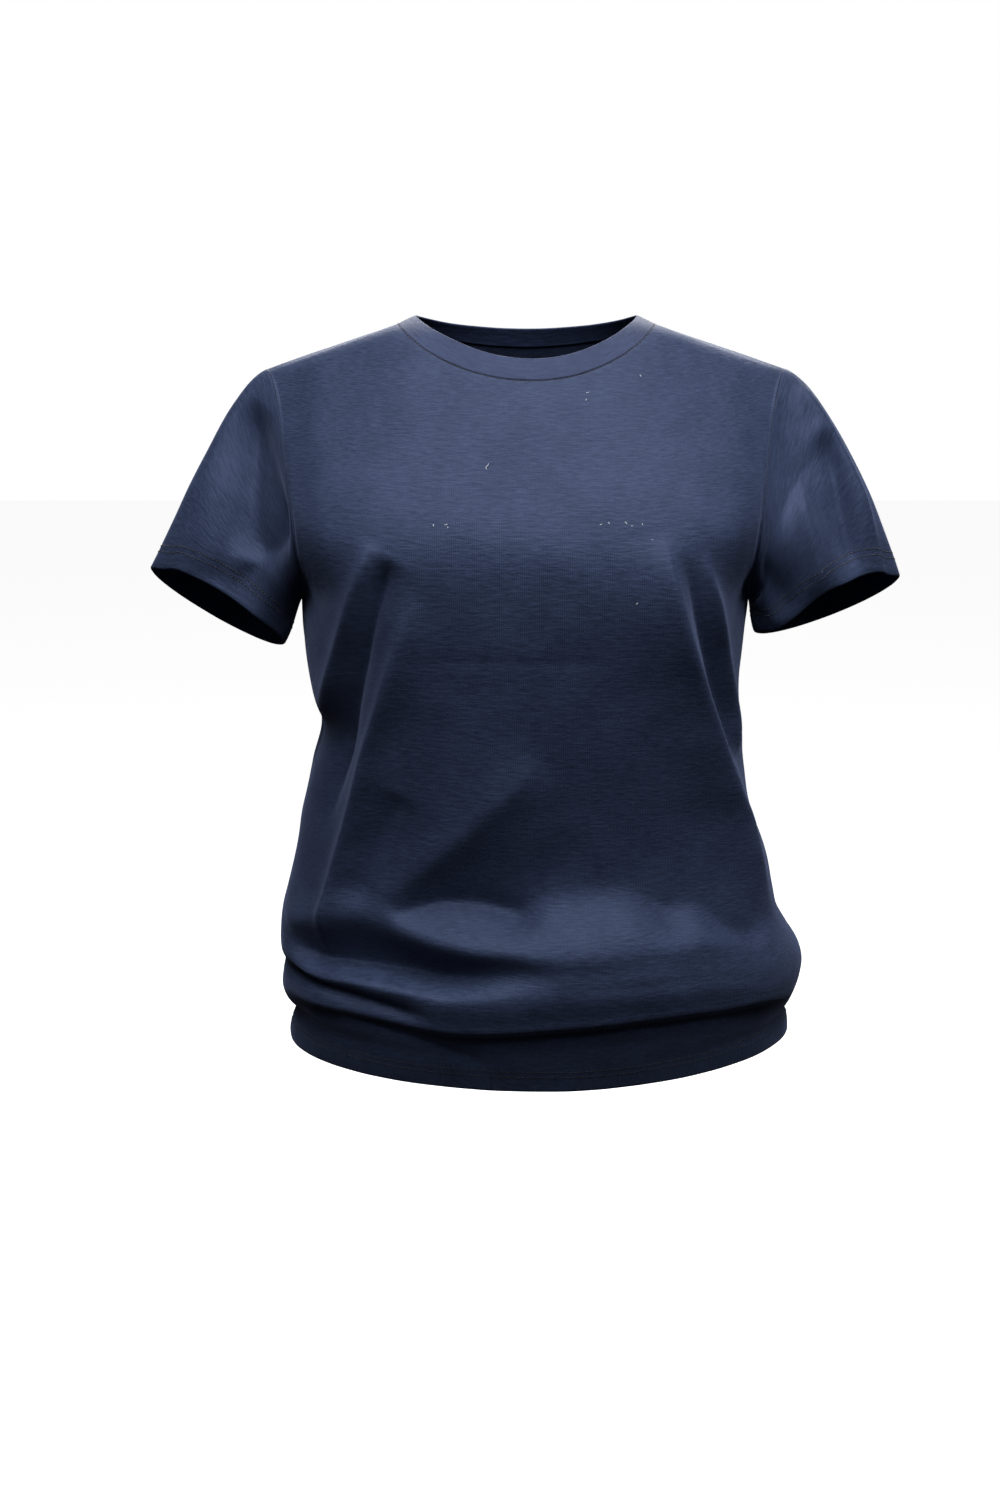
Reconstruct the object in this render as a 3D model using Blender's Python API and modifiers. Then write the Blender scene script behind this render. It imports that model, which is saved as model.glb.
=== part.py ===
"""A women's crew neck t-shirt in cotton jersey, in its hollow worn form.

Five pieces, as they are cut and sewn: front, back, two set-in sleeves and a neckband.
X runs from the wearer's right to the left, the front faces -Y, and Z is up. The origin
lies midway between the two points where the neckband crosses the shoulders. Metres.

Each piece is an open grid moved to the outer face of the cloth. Solidify then gives it
its wall on the inside, so the seams stay open by the same small gap all the way round.
"""
import math
from collections import namedtuple

import bmesh
import bpy
import numpy as np
from mathutils import Vector
from mathutils.kdtree import KDTree

# ---------------------------------------------------------------- driving dimensions
CLOTH = 0.0015          # wall of the jersey
BAND_CLOTH = 0.0020     # the neckband is two layers of rib
SEAM_GAP = 0.0003       # clear space between two sewn pieces
WALL_AT_BEND = 0.0035   # the wall as deep as it gets where the cloth bends

BAND_TOP_HALF = 0.0850  # half the width of the neck opening, at the shoulders
NECK_HALF = 0.0975      # neck seam, at the shoulders
NECK_DROP = -0.0060
SHOULDER_HALF = 0.1990
SHOULDER_DROP = -0.0405
UNDERARM_HALF = 0.1760
UNDERARM_DROP = -0.2150
ARMHOLE_WAIST = 0.0090  # how far the armhole seam hollows in at its middle
HEM_RIGHT = -0.5790     # the hem at the side seams: it rides up on the wearer's left
HEM_LEFT = -0.5710
CORNER = 0.12           # how softly the rows turn at a corner of a panel

# Rows and columns of the grids. Pieces that meet share their counts along the seam.
SHOULDER_ROWS = 5
ARMHOLE_ROWS = 9
SIDE_ROWS = 28
ROWS_TO_HEM = 0.35      # share by which the rows close up towards the hem
FRONT_COLUMNS = 44
BACK_COLUMNS = 24
SLEEVE_ROWS = 9
BAND_ROWS = 3

FRONT, BACK = -1, 1
RIGHT, LEFT = -1, 1     # the wearer's, along X

# The armhole seam swings forward and back: by its turn, from the shoulder to the underarm.
Swing = namedtuple("Swing", "turn front back")
SWINGS = (
    Swing(0.00, 0.0000, 0.0000),
    Swing(0.10, 0.0095, 0.0162),
    Swing(0.20, 0.0185, 0.0320),
    Swing(0.30, 0.0320, 0.0455),
    Swing(0.40, 0.0480, 0.0560),
    Swing(0.50, 0.0640, 0.0620),
    Swing(0.58, 0.0735, 0.0622),
    Swing(0.65, 0.0745, 0.0590),
    Swing(0.75, 0.0610, 0.0485),
    Swing(0.85, 0.0360, 0.0320),
    Swing(0.93, 0.0165, 0.0155),
    Swing(1.00, 0.0000, 0.0000),
)

# Half width of the body from the centre plane, on the wearer's right and left.
Side = namedtuple("Side", "z right left")
SIDES = (
    Side(-0.215, 0.1760, 0.1760),
    Side(-0.252, 0.1742, 0.1714),
    Side(-0.284, 0.1686, 0.1660),
    Side(-0.300, 0.1636, 0.1655),
    Side(-0.316, 0.1606, 0.1682),
    Side(-0.349, 0.1690, 0.1716),
    Side(-0.382, 0.1770, 0.1756),
    Side(-0.415, 0.1826, 0.1886),
    Side(-0.449, 0.1913, 0.1986),
    Side(-0.466, 0.1957, 0.2040),
    Side(-0.483, 0.1976, 0.2135),
    Side(-0.500, 0.1972, 0.2232),
    Side(-0.509, 0.1946, 0.2253),
    Side(-0.520, 0.1962, 0.2243),
    Side(-0.534, 0.1972, 0.2203),
    Side(-0.543, 0.1940, 0.2170),
    Side(-0.551, 0.1874, 0.2128),
    Side(-0.560, 0.1897, 0.2154),
    Side(-0.572, 0.1928, 0.2166),
    Side(-0.587, 0.1906, 0.2160),
)

# Depth of the body on its centre line, and how far the centre line stands to the left.
Centre = namedtuple("Centre", "z front back shift")
CENTRES = (
    Centre(-0.024, -0.0560, 0.0560, 0.000),
    Centre(-0.047, -0.0710, 0.0690, 0.004),
    Centre(-0.085, -0.0920, 0.0850, 0.003),
    Centre(-0.125, -0.1140, 0.0960, 0.001),
    Centre(-0.150, -0.1270, 0.0990, 0.000),
    Centre(-0.170, -0.1325, 0.1000, 0.000),
    Centre(-0.190, -0.1330, 0.0990, 0.000),
    Centre(-0.215, -0.1320, 0.0970, 0.000),
    Centre(-0.260, -0.1285, 0.0910, 0.001),
    Centre(-0.320, -0.1225, 0.0840, 0.002),
    Centre(-0.370, -0.1190, 0.0840, 0.004),
    Centre(-0.420, -0.1175, 0.0900, 0.007),
    Centre(-0.470, -0.1180, 0.0970, 0.010),
    Centre(-0.520, -0.1190, 0.1010, 0.011),
    Centre(-0.587, -0.1190, 0.1020, 0.012),
)

# The free edge of the neckband: its middle at the front and at the back, how flat it runs
# there and how soon it turns to the shoulder. The neckline has slipped to the left.
Band = namedtuple("Band", "face x y z flat reach")
BANDS = (
    Band(FRONT, 0.0036, -0.0615, -0.0318, 0.62, 0.56),
    Band(BACK, 0.0000, 0.0500, -0.0108, 0.70, 0.56),
)

# Where a panel's rows start on the centre line and how they run out to its edge. The
# stretches of the edge are the shoulder (0 to 1), the armhole (1 to 2), the side (2 to 3).
Row = namedtuple("Row", "at front_z back_z out across up flat reach")
ROWS = (
    Row(0.0, -0.0470, -0.0240, 0.04, 1.00, 0.00, 0.70, 0.56),
    Row(0.5, -0.0860, -0.0600, 0.20, 0.85, 0.40, 0.74, 0.30),
    Row(1.0, -0.1250, -0.1000, 0.50, 0.75, 0.20, 0.78, 0.22),
    Row(1.5, -0.1600, -0.1480, 0.90, 0.40, 0.00, 0.80, 0.26),
    Row(2.0, -0.2050, -0.2000, 0.30, 0.92, 0.00, 0.76, 0.54),
    Row(2.2, -0.2580, -0.2560, 0.00, 1.00, 0.00, 0.70, 0.58),
    Row(3.0, -0.5870, -0.5830, 0.00, 1.00, 0.00, 0.56, 0.58),
)

# The front is pulled flat from the shoulders to the break of the chest: by the distance
# from the centre plane, where that flat begins, where it ends, and how far below its end
# the cloth has fallen back to the body.
Chest = namedtuple("Chest", "across top_z top_y break_z break_y fall")
CHEST = (
    Chest(0.000, -0.046, -0.0705, -0.1660, -0.1345, 0.100),
    Chest(0.050, -0.038, -0.0640, -0.1630, -0.1335, 0.100),
    Chest(0.095, -0.018, -0.0440, -0.1590, -0.1285, 0.100),
    Chest(0.135, -0.028, -0.0320, -0.1550, -0.1170, 0.100),
    Chest(0.160, -0.038, -0.0260, -0.1520, -0.1010, 0.070),
    Chest(0.176, -0.046, -0.0200, -0.1490, -0.0830, 0.036),
    Chest(0.200, -0.052, -0.0100, -0.1470, -0.0600, 0.030),
)
CHEST_TOP = 0.024       # how far above the table the flat of the chest begins
CHEST_SOFT = 0.09       # how softly the chest turns over, as a share of its length
CHEST_EDGE = 0.04       # the share of a row, at its end, that stays on the armhole

# The blouse over the hem, from side seam to side seam: the dip above it, the lobe and the
# hollow under that, the crest of the roll and the crease under the roll.
Roll = namedtuple(
    "Roll", "across dip_z dip lobe_z lobe hollow_z hollow crest_z crest crease_z crease"
)
RIGHT_SEAM = (-0.430, 0, -0.455, 0, -0.468, 0, -0.490, 0, -0.551, 0)
LEFT_SEAM = (-0.440, 0, -0.470, 0, -0.482, 0, -0.508, 0, -0.551, 0)
FRONT_ROLL = (
    Roll(-1.00, *RIGHT_SEAM),
    Roll(-0.93, -0.440, 0.000, -0.461, 0.001, -0.478, -0.001, -0.500, 0.005, -0.546, -0.002),
    Roll(-0.85, -0.441, 0.001, -0.457, -0.001, -0.479, -0.004, -0.501, 0.007, -0.542, -0.003),
    Roll(-0.73, -0.433, 0.000, -0.449, -0.002, -0.477, -0.006, -0.502, 0.008, -0.540, -0.003),
    Roll(-0.61, -0.433, -0.001, -0.449, -0.003, -0.477, -0.006, -0.503, 0.009, -0.540, -0.003),
    Roll(-0.50, -0.433, -0.002, -0.450, -0.002, -0.478, -0.005, -0.504, 0.010, -0.540, -0.003),
    Roll(-0.38, -0.433, -0.002, -0.457, 0.005, -0.487, -0.001, -0.507, 0.010, -0.540, -0.003),
    Roll(-0.19, -0.431, -0.003, -0.468, 0.010, -0.489, 0.004, -0.510, 0.011, -0.541, -0.003),
    Roll(-0.03, -0.432, -0.003, -0.474, 0.013, -0.489, 0.010, -0.507, 0.012, -0.541, -0.003),
    Roll(0.12, -0.436, -0.002, -0.480, 0.014, -0.492, 0.014, -0.506, 0.012, -0.541, -0.003),
    Roll(0.27, -0.424, -0.002, -0.478, 0.015, -0.491, 0.015, -0.506, 0.012, -0.540, -0.003),
    Roll(0.42, -0.412, -0.001, -0.476, 0.015, -0.490, 0.014, -0.505, 0.012, -0.538, -0.003),
    Roll(0.58, -0.432, -0.001, -0.476, 0.013, -0.488, 0.013, -0.502, 0.011, -0.536, -0.003),
    Roll(0.70, -0.438, -0.001, -0.478, 0.012, -0.489, 0.012, -0.503, 0.010, -0.536, -0.003),
    Roll(0.84, -0.452, 0.000, -0.485, 0.007, -0.496, 0.007, -0.510, 0.006, -0.538, -0.002),
    Roll(1.00, *LEFT_SEAM),
)
BACK_ROLL = (
    Roll(-1.00, *RIGHT_SEAM),
    Roll(-0.82, -0.440, 0.000, -0.462, 0.004, -0.480, 0.000, -0.500, 0.008, -0.540, -0.003),
    Roll(-0.55, -0.430, -0.002, -0.458, 0.007, -0.484, 0.002, -0.508, 0.011, -0.542, -0.004),
    Roll(-0.20, -0.418, -0.002, -0.470, 0.014, -0.488, 0.013, -0.506, 0.012, -0.545, -0.004),
    Roll(0.10, -0.440, -0.002, -0.476, 0.012, -0.490, 0.012, -0.505, 0.011, -0.544, -0.003),
    Roll(0.35, -0.428, -0.001, -0.466, 0.013, -0.486, 0.006, -0.509, 0.012, -0.542, -0.004),
    Roll(0.62, -0.436, -0.001, -0.460, 0.006, -0.482, 0.000, -0.506, 0.010, -0.540, -0.003),
    Roll(0.84, -0.455, 0.000, -0.478, 0.005, -0.494, 0.005, -0.508, 0.006, -0.545, -0.002),
    Roll(1.00, *LEFT_SEAM),
)
LEVELS = ("dip", "lobe", "hollow", "crest", "crease")
RISE_FROM = 0.060       # how far above the dip the roll begins
HEM_FROM = 0.016        # and how far below the crease it ends

# Folds that lie on one panel, from top to bottom. Height is how far the cloth stands out
# at the fold, minus for a trough; the widths are its two sides, and edge its sharpness.
Fold = namedtuple("Fold", "x1 z1 x2 z2 x3 z3 height right left edge")
FRONT_FOLDS = (
    Fold(-0.110, -0.150, -0.135, -0.232, -0.159, -0.308, 0.009, 0.012, 0.016, 0.006),
    Fold(-0.103, -0.172, -0.125, -0.252, -0.156, -0.385, -0.005, 0.010, 0.010, 0.006),
    Fold(-0.088, -0.205, -0.117, -0.326, -0.156, -0.466, 0.009, 0.012, 0.014, 0.006),
    Fold(0.095, -0.148, 0.133, -0.300, 0.196, -0.472, 0.011, 0.022, 0.012, 0.006),
    Fold(0.128, -0.160, 0.145, -0.258, 0.161, -0.338, 0.006, 0.011, 0.011, 0.006),
    Fold(-0.008, -0.378, -0.072, -0.409, -0.142, -0.452, 0.007, 0.024, 0.016, 0.012),
)
BACK_FOLDS = (
    Fold(-0.100, -0.150, -0.120, -0.260, -0.142, -0.380, 0.008, 0.020, 0.016, 0.008),
    Fold(0.095, -0.170, 0.117, -0.290, 0.152, -0.440, 0.009, 0.016, 0.020, 0.008),
    Fold(-0.030, -0.230, -0.036, -0.330, -0.060, -0.440, 0.0055, 0.022, 0.018, 0.012),
    Fold(0.040, -0.260, 0.044, -0.350, 0.070, -0.450, 0.0055, 0.018, 0.022, 0.012),
    Fold(-0.085, -0.440, 0.000, -0.425, 0.080, -0.448, 0.0055, 0.018, 0.018, 0.010),
)
FOLD_STEPS = 12         # straight pieces that a fold's line is measured along
RELAX_PASSES = 8        # eases the cloth between the shoulder, the armhole and the chest
RELAX_FROM = 0.1        # it starts this far in from the centre line and the neck
RELAX_FULL = 0.3        # and is full after this much more
RELAX_END = 0.4         # it dies out over this much of the side seam
FOLD_FADE = 0.06        # share of a half panel over which its folds die out at the edge

# A sleeve ends at its cuff: an oval with its centre, its two half sizes and the way its
# long side leans out and its short side leans forward.
Cuff = namedtuple("Cuff", "side x y z long short out_x out_z front_z sag")
CUFFS = (
    Cuff(RIGHT, -0.2400, -0.0165, -0.2210, 0.0590, 0.0460, -0.874, 0.485, 0.45, 0.000),
    Cuff(LEFT, 0.2350, -0.0160, -0.2190, 0.0600, 0.0460, 0.940, 0.342, 0.45, 0.014),
)

SAG_AT = 2.35           # where round the cuff it hangs lower, in radians from the top
SAG_WIDTH = 0.50

# How the sleeve leaves the armhole, at its top, its front and back, and the underarm.
Leave = namedtuple("Leave", "place out forward up handle")
LEAVES = (
    Leave("top", 0.94, 0.00, -0.34, 0.17),
    Leave("middle", 0.62, 0.10, -0.78, 0.30),
    Leave("underarm", 0.55, 0.00, -0.84, 0.30),
)
CUFF_HANDLE = 0.38

NAVY = (0.0190, 0.0250, 0.0540, 1.0)
ROUGHNESS = 0.85
SEWN_WITHIN = 1e-5      # points this near are on the same seam
SAME_WAY = 0.3          # sewn points whose normals agree at least this much lie flat together


# ---------------------------------------------------------------- curves and tables
def column(table, name):
    return np.array([getattr(row, name) for row in table])


def through(table, key, name, at):
    """The smooth curve through one column of a table, read at the given stations."""
    knots = column(table, key)
    values = column(table, name)
    order = np.argsort(knots)
    knots, values = knots[order], values[order]
    slopes = np.gradient(values, knots)
    at = np.clip(at, knots[0], knots[-1])
    i = np.clip(np.searchsorted(knots, at) - 1, 0, len(knots) - 2)
    step = knots[i + 1] - knots[i]
    t = (at - knots[i]) / step
    return (
        (1 + 2 * t) * (1 - t) ** 2 * values[i]
        + t * (1 - t) ** 2 * step * slopes[i]
        + t * t * (3 - 2 * t) * values[i + 1]
        + t * t * (t - 1) * step * slopes[i + 1]
    )


def vectors(x, y, z):
    return np.stack(np.broadcast_arrays(x, y, z), axis=-1).astype(float)


def unit(v):
    return v / np.linalg.norm(v, axis=-1, keepdims=True)


def cubic(p0, p1, p2, p3, t):
    t = np.asarray(t)[..., None]
    s = 1 - t
    return s**3 * p0 + 3 * s * s * t * p1 + 3 * s * t * t * p2 + t**3 * p3


def ease_in(t):
    """0 to 1, starting slowly: rows leave a corner of the panel without a kink."""
    return (np.sqrt(t * t + CORNER**2) - CORNER) / (math.hypot(1, CORNER) - CORNER)


def ease_out(t):
    return 1 - ease_in(1 - t)


def fade(t):
    """1 at t = 0 and 0 from t = 1 on, level at both."""
    t = np.clip(t, 0, 1)
    return 1 - t * t * (3 - 2 * t)


# ---------------------------------------------------------------- the body's form
def armhole(angle, side, face):
    """The armhole seam: 0 at the shoulder, half a turn at the underarm."""
    cos, sin = np.cos(angle), np.sin(angle)
    swing = through(SWINGS, "turn", "front" if face == FRONT else "back", angle / math.pi)
    x = (SHOULDER_HALF + UNDERARM_HALF) / 2 - ARMHOLE_WAIST * sin
    x = x + (SHOULDER_HALF - UNDERARM_HALF) / 2 * cos
    z = (SHOULDER_DROP + UNDERARM_DROP) / 2 + (SHOULDER_DROP - UNDERARM_DROP) / 2 * cos
    return vectors(side * x, face * swing, z)


def panel_edge(v, side, face):
    """The edge of a panel: along the shoulder, the armhole and the side seam."""
    shoulder = ease_out(np.clip(v, 0, 1))
    turn = math.pi * ease_out(ease_in(np.clip(v - 1, 0, 1)))
    down = ease_in(np.clip(v - 2, 0, 1))
    x = side * (NECK_HALF + (SHOULDER_HALF - NECK_HALF) * shoulder)
    z = NECK_DROP + (SHOULDER_DROP - NECK_DROP) * shoulder
    on_shoulder = vectors(x, 0 * v, z)
    z = UNDERARM_DROP + ((HEM_RIGHT if side == RIGHT else HEM_LEFT) - UNDERARM_DROP) * down
    half = through(SIDES, "z", "right" if side == RIGHT else "left", z)
    on_side = vectors(side * half, 0 * v, z)
    on_armhole = armhole(turn, side, face)
    v = v[..., None]
    return np.where(v <= 1, on_shoulder, np.where(v < 2, on_armhole, on_side))


def panel(u, v, face):
    """The outer face of the front or back: u from -1 to 1 across, v from 0 to 3 down."""
    side = np.where(u < 0, RIGHT, LEFT)
    z = through(ROWS, "at", "front_z" if face == FRONT else "back_z", v)
    y = through(CENTRES, "z", "front" if face == FRONT else "back", z)
    centre = vectors(through(CENTRES, "z", "shift", z), y, z)
    edge = np.where(
        (side == RIGHT)[..., None], panel_edge(v, RIGHT, face), panel_edge(v, LEFT, face)
    )
    arrive = unit(
        vectors(
            side * through(ROWS, "at", "out", v),
            -face * through(ROWS, "at", "across", v),
            through(ROWS, "at", "up", v),
        )
    )
    flat = through(ROWS, "at", "flat", v)
    half = np.abs(edge[..., 0] - centre[..., 0])
    leave = centre + vectors(side * flat * half, 0, 0)
    depth = np.sum((edge - centre) * arrive, axis=-1)
    reach = through(ROWS, "at", "reach", v) * depth
    before = edge - arrive * reach[..., None]
    return cubic(centre, leave, before, edge, np.abs(u))


def relaxed(places, u, v):
    """The panel's points, a row to a station, eased where shoulder and armhole meet."""
    down = (1 - fade((v - RELAX_FROM) / RELAX_FULL)) * fade((v - 2) / RELAX_END)
    share = down[:, None] * (1 - fade((np.abs(u) - RELAX_FROM) / RELAX_FULL))[None, :]
    share = share[1:-1, 1:-1, None] / 2
    for _ in range(RELAX_PASSES):
        inner = places[1:-1, 1:-1]
        beside = places[1:-1, :-2] + places[1:-1, 2:] + places[:-2, 1:-1] + places[2:, 1:-1]
        inner += (beside / 4 - inner) * share
    return places


def stretched(places, u):
    """The front, pulled flat from the shoulders to the chest, from where it falls."""
    x, z = np.abs(places[..., 0]), places[..., 2]
    read = {name: through(CHEST, "across", name, x) for name in Chest._fields[1:]}
    share = (read["top_z"] - z) / (read["top_z"] - read["break_z"])
    share = share - CHEST_SOFT * np.log1p(np.exp((share - 1) / CHEST_SOFT))
    flat = read["top_y"] + (read["break_y"] - read["top_y"]) * share
    inside = fade((z - read["top_z"]) / CHEST_TOP) * fade((read["break_z"] - z) / read["fall"])
    inside = inside * fade((np.abs(u) - 1 + CHEST_EDGE) / CHEST_EDGE)
    places[..., 1] += (flat - places[..., 1]) * inside
    return places


def fold_height(fold, x, z):
    """How far one fold lifts the cloth at x, z."""
    t = np.linspace(0, 1, FOLD_STEPS + 1)
    bend_x = 2 * fold.x2 - (fold.x1 + fold.x3) / 2
    bend_z = 2 * fold.z2 - (fold.z1 + fold.z3) / 2
    line_x = (1 - t) ** 2 * fold.x1 + 2 * t * (1 - t) * bend_x + t * t * fold.x3
    line_z = (1 - t) ** 2 * fold.z1 + 2 * t * (1 - t) * bend_z + t * t * fold.z3
    dx, dz = np.diff(line_x), np.diff(line_z)
    px, pz = x[..., None] - line_x[:-1], z[..., None] - line_z[:-1]
    along = np.clip((px * dx + pz * dz) / (dx * dx + dz * dz), 0, 1)
    off_x, off_z = px - along * dx, pz - along * dz
    distance = np.hypot(off_x, off_z)
    nearest = np.argmin(distance, axis=-1)[..., None]
    distance = np.take_along_axis(distance, nearest, -1)[..., 0]
    cross = np.take_along_axis(dx * off_z - dz * off_x, nearest, -1)[..., 0]
    share = (nearest[..., 0] + np.take_along_axis(along, nearest, -1)[..., 0]) / FOLD_STEPS
    width = np.where(cross < 0, fold.right, fold.left)
    rounded = np.sqrt(distance**2 + fold.edge**2) - fold.edge
    return fold.height * np.exp(-rounded / width) * fade(np.abs(2 * share - 1) ** 3)


def roll_height(at, z, table):
    """How far the roll stands out: it eases from one level of the table to the next."""
    depth = [through(table, "across", level + "_z", at) for level in LEVELS]
    height = [through(table, "across", level, at) for level in LEVELS]
    depth = [depth[0] + RISE_FROM] + depth + [depth[-1] - HEM_FROM]
    height = [0 * at] + height + [0 * at]
    lift = 0
    for start, end, low, high in zip(depth, depth[1:], height, height[1:]):
        lift = lift + (high - low) * (1 - fade((start - z) / (start - end)))
    return lift


def body_lift(u, x, z, face):
    """How far all folds and the blouse lift the body's cloth off its plain form."""
    half = np.where(
        x < 0, through(SIDES, "z", "right", z), through(SIDES, "z", "left", z)
    )
    table = FRONT_ROLL if face == FRONT else BACK_ROLL
    lift = roll_height(np.clip(x / half, -1, 1), z, table)
    inside = fade((np.abs(u) - 1 + FOLD_FADE) / FOLD_FADE)
    for fold in FRONT_FOLDS if face == FRONT else BACK_FOLDS:
        lift += inside * fold_height(fold, x, z)
    return lift


# ---------------------------------------------------------------- the sleeves' form
def sleeve(angle, along, cuff):
    """A sleeve: the angle runs round the armhole from the shoulder, 0 along to the cuff."""
    face = np.where(angle < 0, BACK, FRONT)
    turn = np.abs(angle)
    start = np.where(
        (face == FRONT)[..., None],
        armhole(turn, cuff.side, FRONT),
        armhole(turn, cuff.side, BACK),
    )
    cos, sin = np.cos(turn), np.sin(turn)
    shares = np.stack([np.maximum(cos, 0) ** 2, sin**2, np.maximum(-cos, 0) ** 2], -1)
    leave = vectors(
        cuff.side * (shares @ column(LEAVES, "out")),
        face * (shares @ column(LEAVES, "forward")),
        shares @ column(LEAVES, "up"),
    )
    outward = unit(vectors(cuff.out_x, 0, cuff.out_z))
    forward = unit(vectors(0, -1, cuff.front_z))
    from_sag = (angle - SAG_AT + math.pi) % (2 * math.pi) - math.pi
    sag = cuff.sag * np.exp(-((from_sag / SAG_WIDTH) ** 2))
    end = (
        vectors(cuff.x, cuff.y, cuff.z - sag)
        + outward * (cuff.long * cos)[..., None]
        - forward * (cuff.short * sin * face)[..., None]
    )
    axis = unit(vectors(cuff.side * cuff.out_z, 0, -abs(cuff.out_x)))
    reach = np.linalg.norm(end - start, axis=-1)
    handle = (shares @ column(LEAVES, "handle")) * reach
    after = start + unit(leave) * handle[..., None]
    before = end - axis * (CUFF_HANDLE * reach)[..., None]
    return cubic(start, after, before, end, along)


# ---------------------------------------------------------------- making the pieces
def material(name, colour):
    made = bpy.data.materials.new(name)
    made.use_nodes = True
    shader = made.node_tree.nodes["Principled BSDF"]
    shader.inputs["Base Color"].default_value = colour
    shader.inputs["Roughness"].default_value = ROUGHNESS
    shader.inputs["Metallic"].default_value = 0.0
    return made


def grid(columns, rows):
    """A flat grid as a bmesh, and the column and row of each of its vertices."""
    bm = bmesh.new()
    bmesh.ops.create_grid(bm, x_segments=columns, y_segments=rows, size=1.0)
    places = np.array([vert.co[:] for vert in bm.verts])
    across = np.rint((places[:, 0] + 1) / 2 * columns).astype(int)
    down = np.rint((1 - places[:, 1]) / 2 * rows).astype(int)
    return bm, across, down


def move_to(bm, places):
    for vert, place in zip(bm.verts, places):
        vert.co = place
    bm.normal_update()


def close_ring(bm):
    """Welds the two ends of a grid that runs all the way round."""
    bmesh.ops.remove_doubles(bm, verts=bm.verts, dist=SEWN_WITHIN)
    bm.normal_update()


def face_out(bm, outward):
    """Turns the surface so that the face furthest along `outward` looks that way."""
    outward = Vector(outward)
    face = max(bm.faces, key=lambda f: f.calc_center_median().dot(outward))
    if face.normal.dot(outward) < 0:
        bmesh.ops.reverse_faces(bm, faces=bm.faces)
        bm.normal_update()


def row_stations():
    """The stations of a panel's rows: shoulder, armhole and side seam."""
    shoulder = np.arange(SHOULDER_ROWS) / SHOULDER_ROWS
    arm = 1 + np.arange(ARMHOLE_ROWS) / ARMHOLE_ROWS
    side = np.arange(SIDE_ROWS + 1) / SIDE_ROWS
    side = 2 + side + ROWS_TO_HEM * np.sin(math.pi * side) / math.pi
    return np.concatenate([shoulder, arm, side])


def plain_panel(face, columns):
    """The front or back before its folds, and each vertex's station across."""
    stations = row_stations()
    bm, across, down = grid(columns, len(stations) - 1)
    u = np.arange(columns + 1) / columns * 2 - 1
    places = relaxed(panel(*np.meshgrid(u, stations), face), u, stations)
    if face == FRONT:
        places = stretched(places, u)
    move_to(bm, places[down, across])
    face_out(bm, (0, face, 0))
    return bm, u[across]


def seam_partners(surfaces):
    """The boundary vertices of all surfaces, in a tree that finds those sewn together."""
    edge_verts = [vert for bm in surfaces for vert in bm.verts if vert.is_boundary]
    tree = KDTree(len(edge_verts))
    for index, vert in enumerate(edge_verts):
        tree.insert(vert.co, index)
    tree.balance()
    return {
        vert: [edge_verts[i] for _, i, _ in tree.find_range(vert.co, SEWN_WITHIN)]
        for vert in edge_verts
    }


def lift_folds(bm, u, face, partners):
    """Moves a panel's cloth out into its folds. Sewn edges share one way out."""
    normals = np.array(
        [
            sum((other.normal for other in partners.get(vert, [vert])), Vector()).normalized()
            for vert in bm.verts
        ]
    )
    places = np.array([vert.co[:] for vert in bm.verts])
    lift = body_lift(u, places[:, 0], places[:, 2], face)
    return places + normals * lift[:, None]


def inner_neighbours(vert):
    inner = [edge.other_vert(vert) for edge in vert.link_edges if not edge.is_boundary]
    return inner or [edge.other_vert(vert) for edge in vert.link_edges]


def open_seams(surfaces):
    """Pulls the open edges back, further where the cloth bends over the seam."""
    moves = {}
    for vert, sewn in seam_partners(surfaces).items():
        level = [other.normal for other in sewn if other.normal.dot(vert.normal) > SAME_WAY]
        shared = sum(level, Vector()).normalized()
        clear = SEAM_GAP / 2 if len(level) == len(sewn) else SEAM_GAP
        ways = [(inner.co - vert.co).normalized() for inner in inner_neighbours(vert)]
        into = sum(ways, Vector())
        into -= into.dot(shared) * shared
        lean = max(0.0, vert.normal.dot(into.normalized()))
        moves[vert] = into * (clear + WALL_AT_BEND * lean)
    for vert, move in moves.items():
        vert.co += move


def plain_sleeve(cuff):
    turns = math.pi * ease_out(ease_in(np.arange(ARMHOLE_ROWS + 1) / ARMHOLE_ROWS))
    angles = np.concatenate([turns[::-1], -turns[1:]])
    bm, across, down = grid(len(angles) - 1, SLEEVE_ROWS)
    move_to(bm, sleeve(angles[across], down / SLEEVE_ROWS, cuff))
    close_ring(bm)
    face_out(bm, (0, FRONT, 0))
    return bm


def band_top(u, band):
    """The free edge of the neckband, at the front or the back."""
    side = np.where(u < 0, RIGHT, LEFT)
    centre = np.array((band.x, band.y, band.z))
    edge = vectors(side * BAND_TOP_HALF, 0, 0)
    leave = centre + vectors(side * BAND_TOP_HALF * band.flat, 0, 0)
    before = edge + vectors(0, band.y * band.reach, 0)
    return cubic(centre, leave, before, edge, np.abs(u))


def plain_band():
    front = np.arange(FRONT_COLUMNS) / FRONT_COLUMNS * 2 - 1
    back = 1 - np.arange(BACK_COLUMNS + 1) / BACK_COLUMNS * 2
    seam = np.concatenate([panel(front, 0 * front, FRONT), panel(back, 0 * back, BACK)])
    top = np.concatenate([band_top(front, BANDS[0]), band_top(back, BANDS[1])])
    bm, across, down = grid(len(seam) - 1, BAND_ROWS)
    share = (down / BAND_ROWS)[:, None]
    move_to(bm, top[across] * (1 - share) + seam[across] * share)
    close_ring(bm)
    face_out(bm, (0, FRONT, 0))
    return bm


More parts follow.
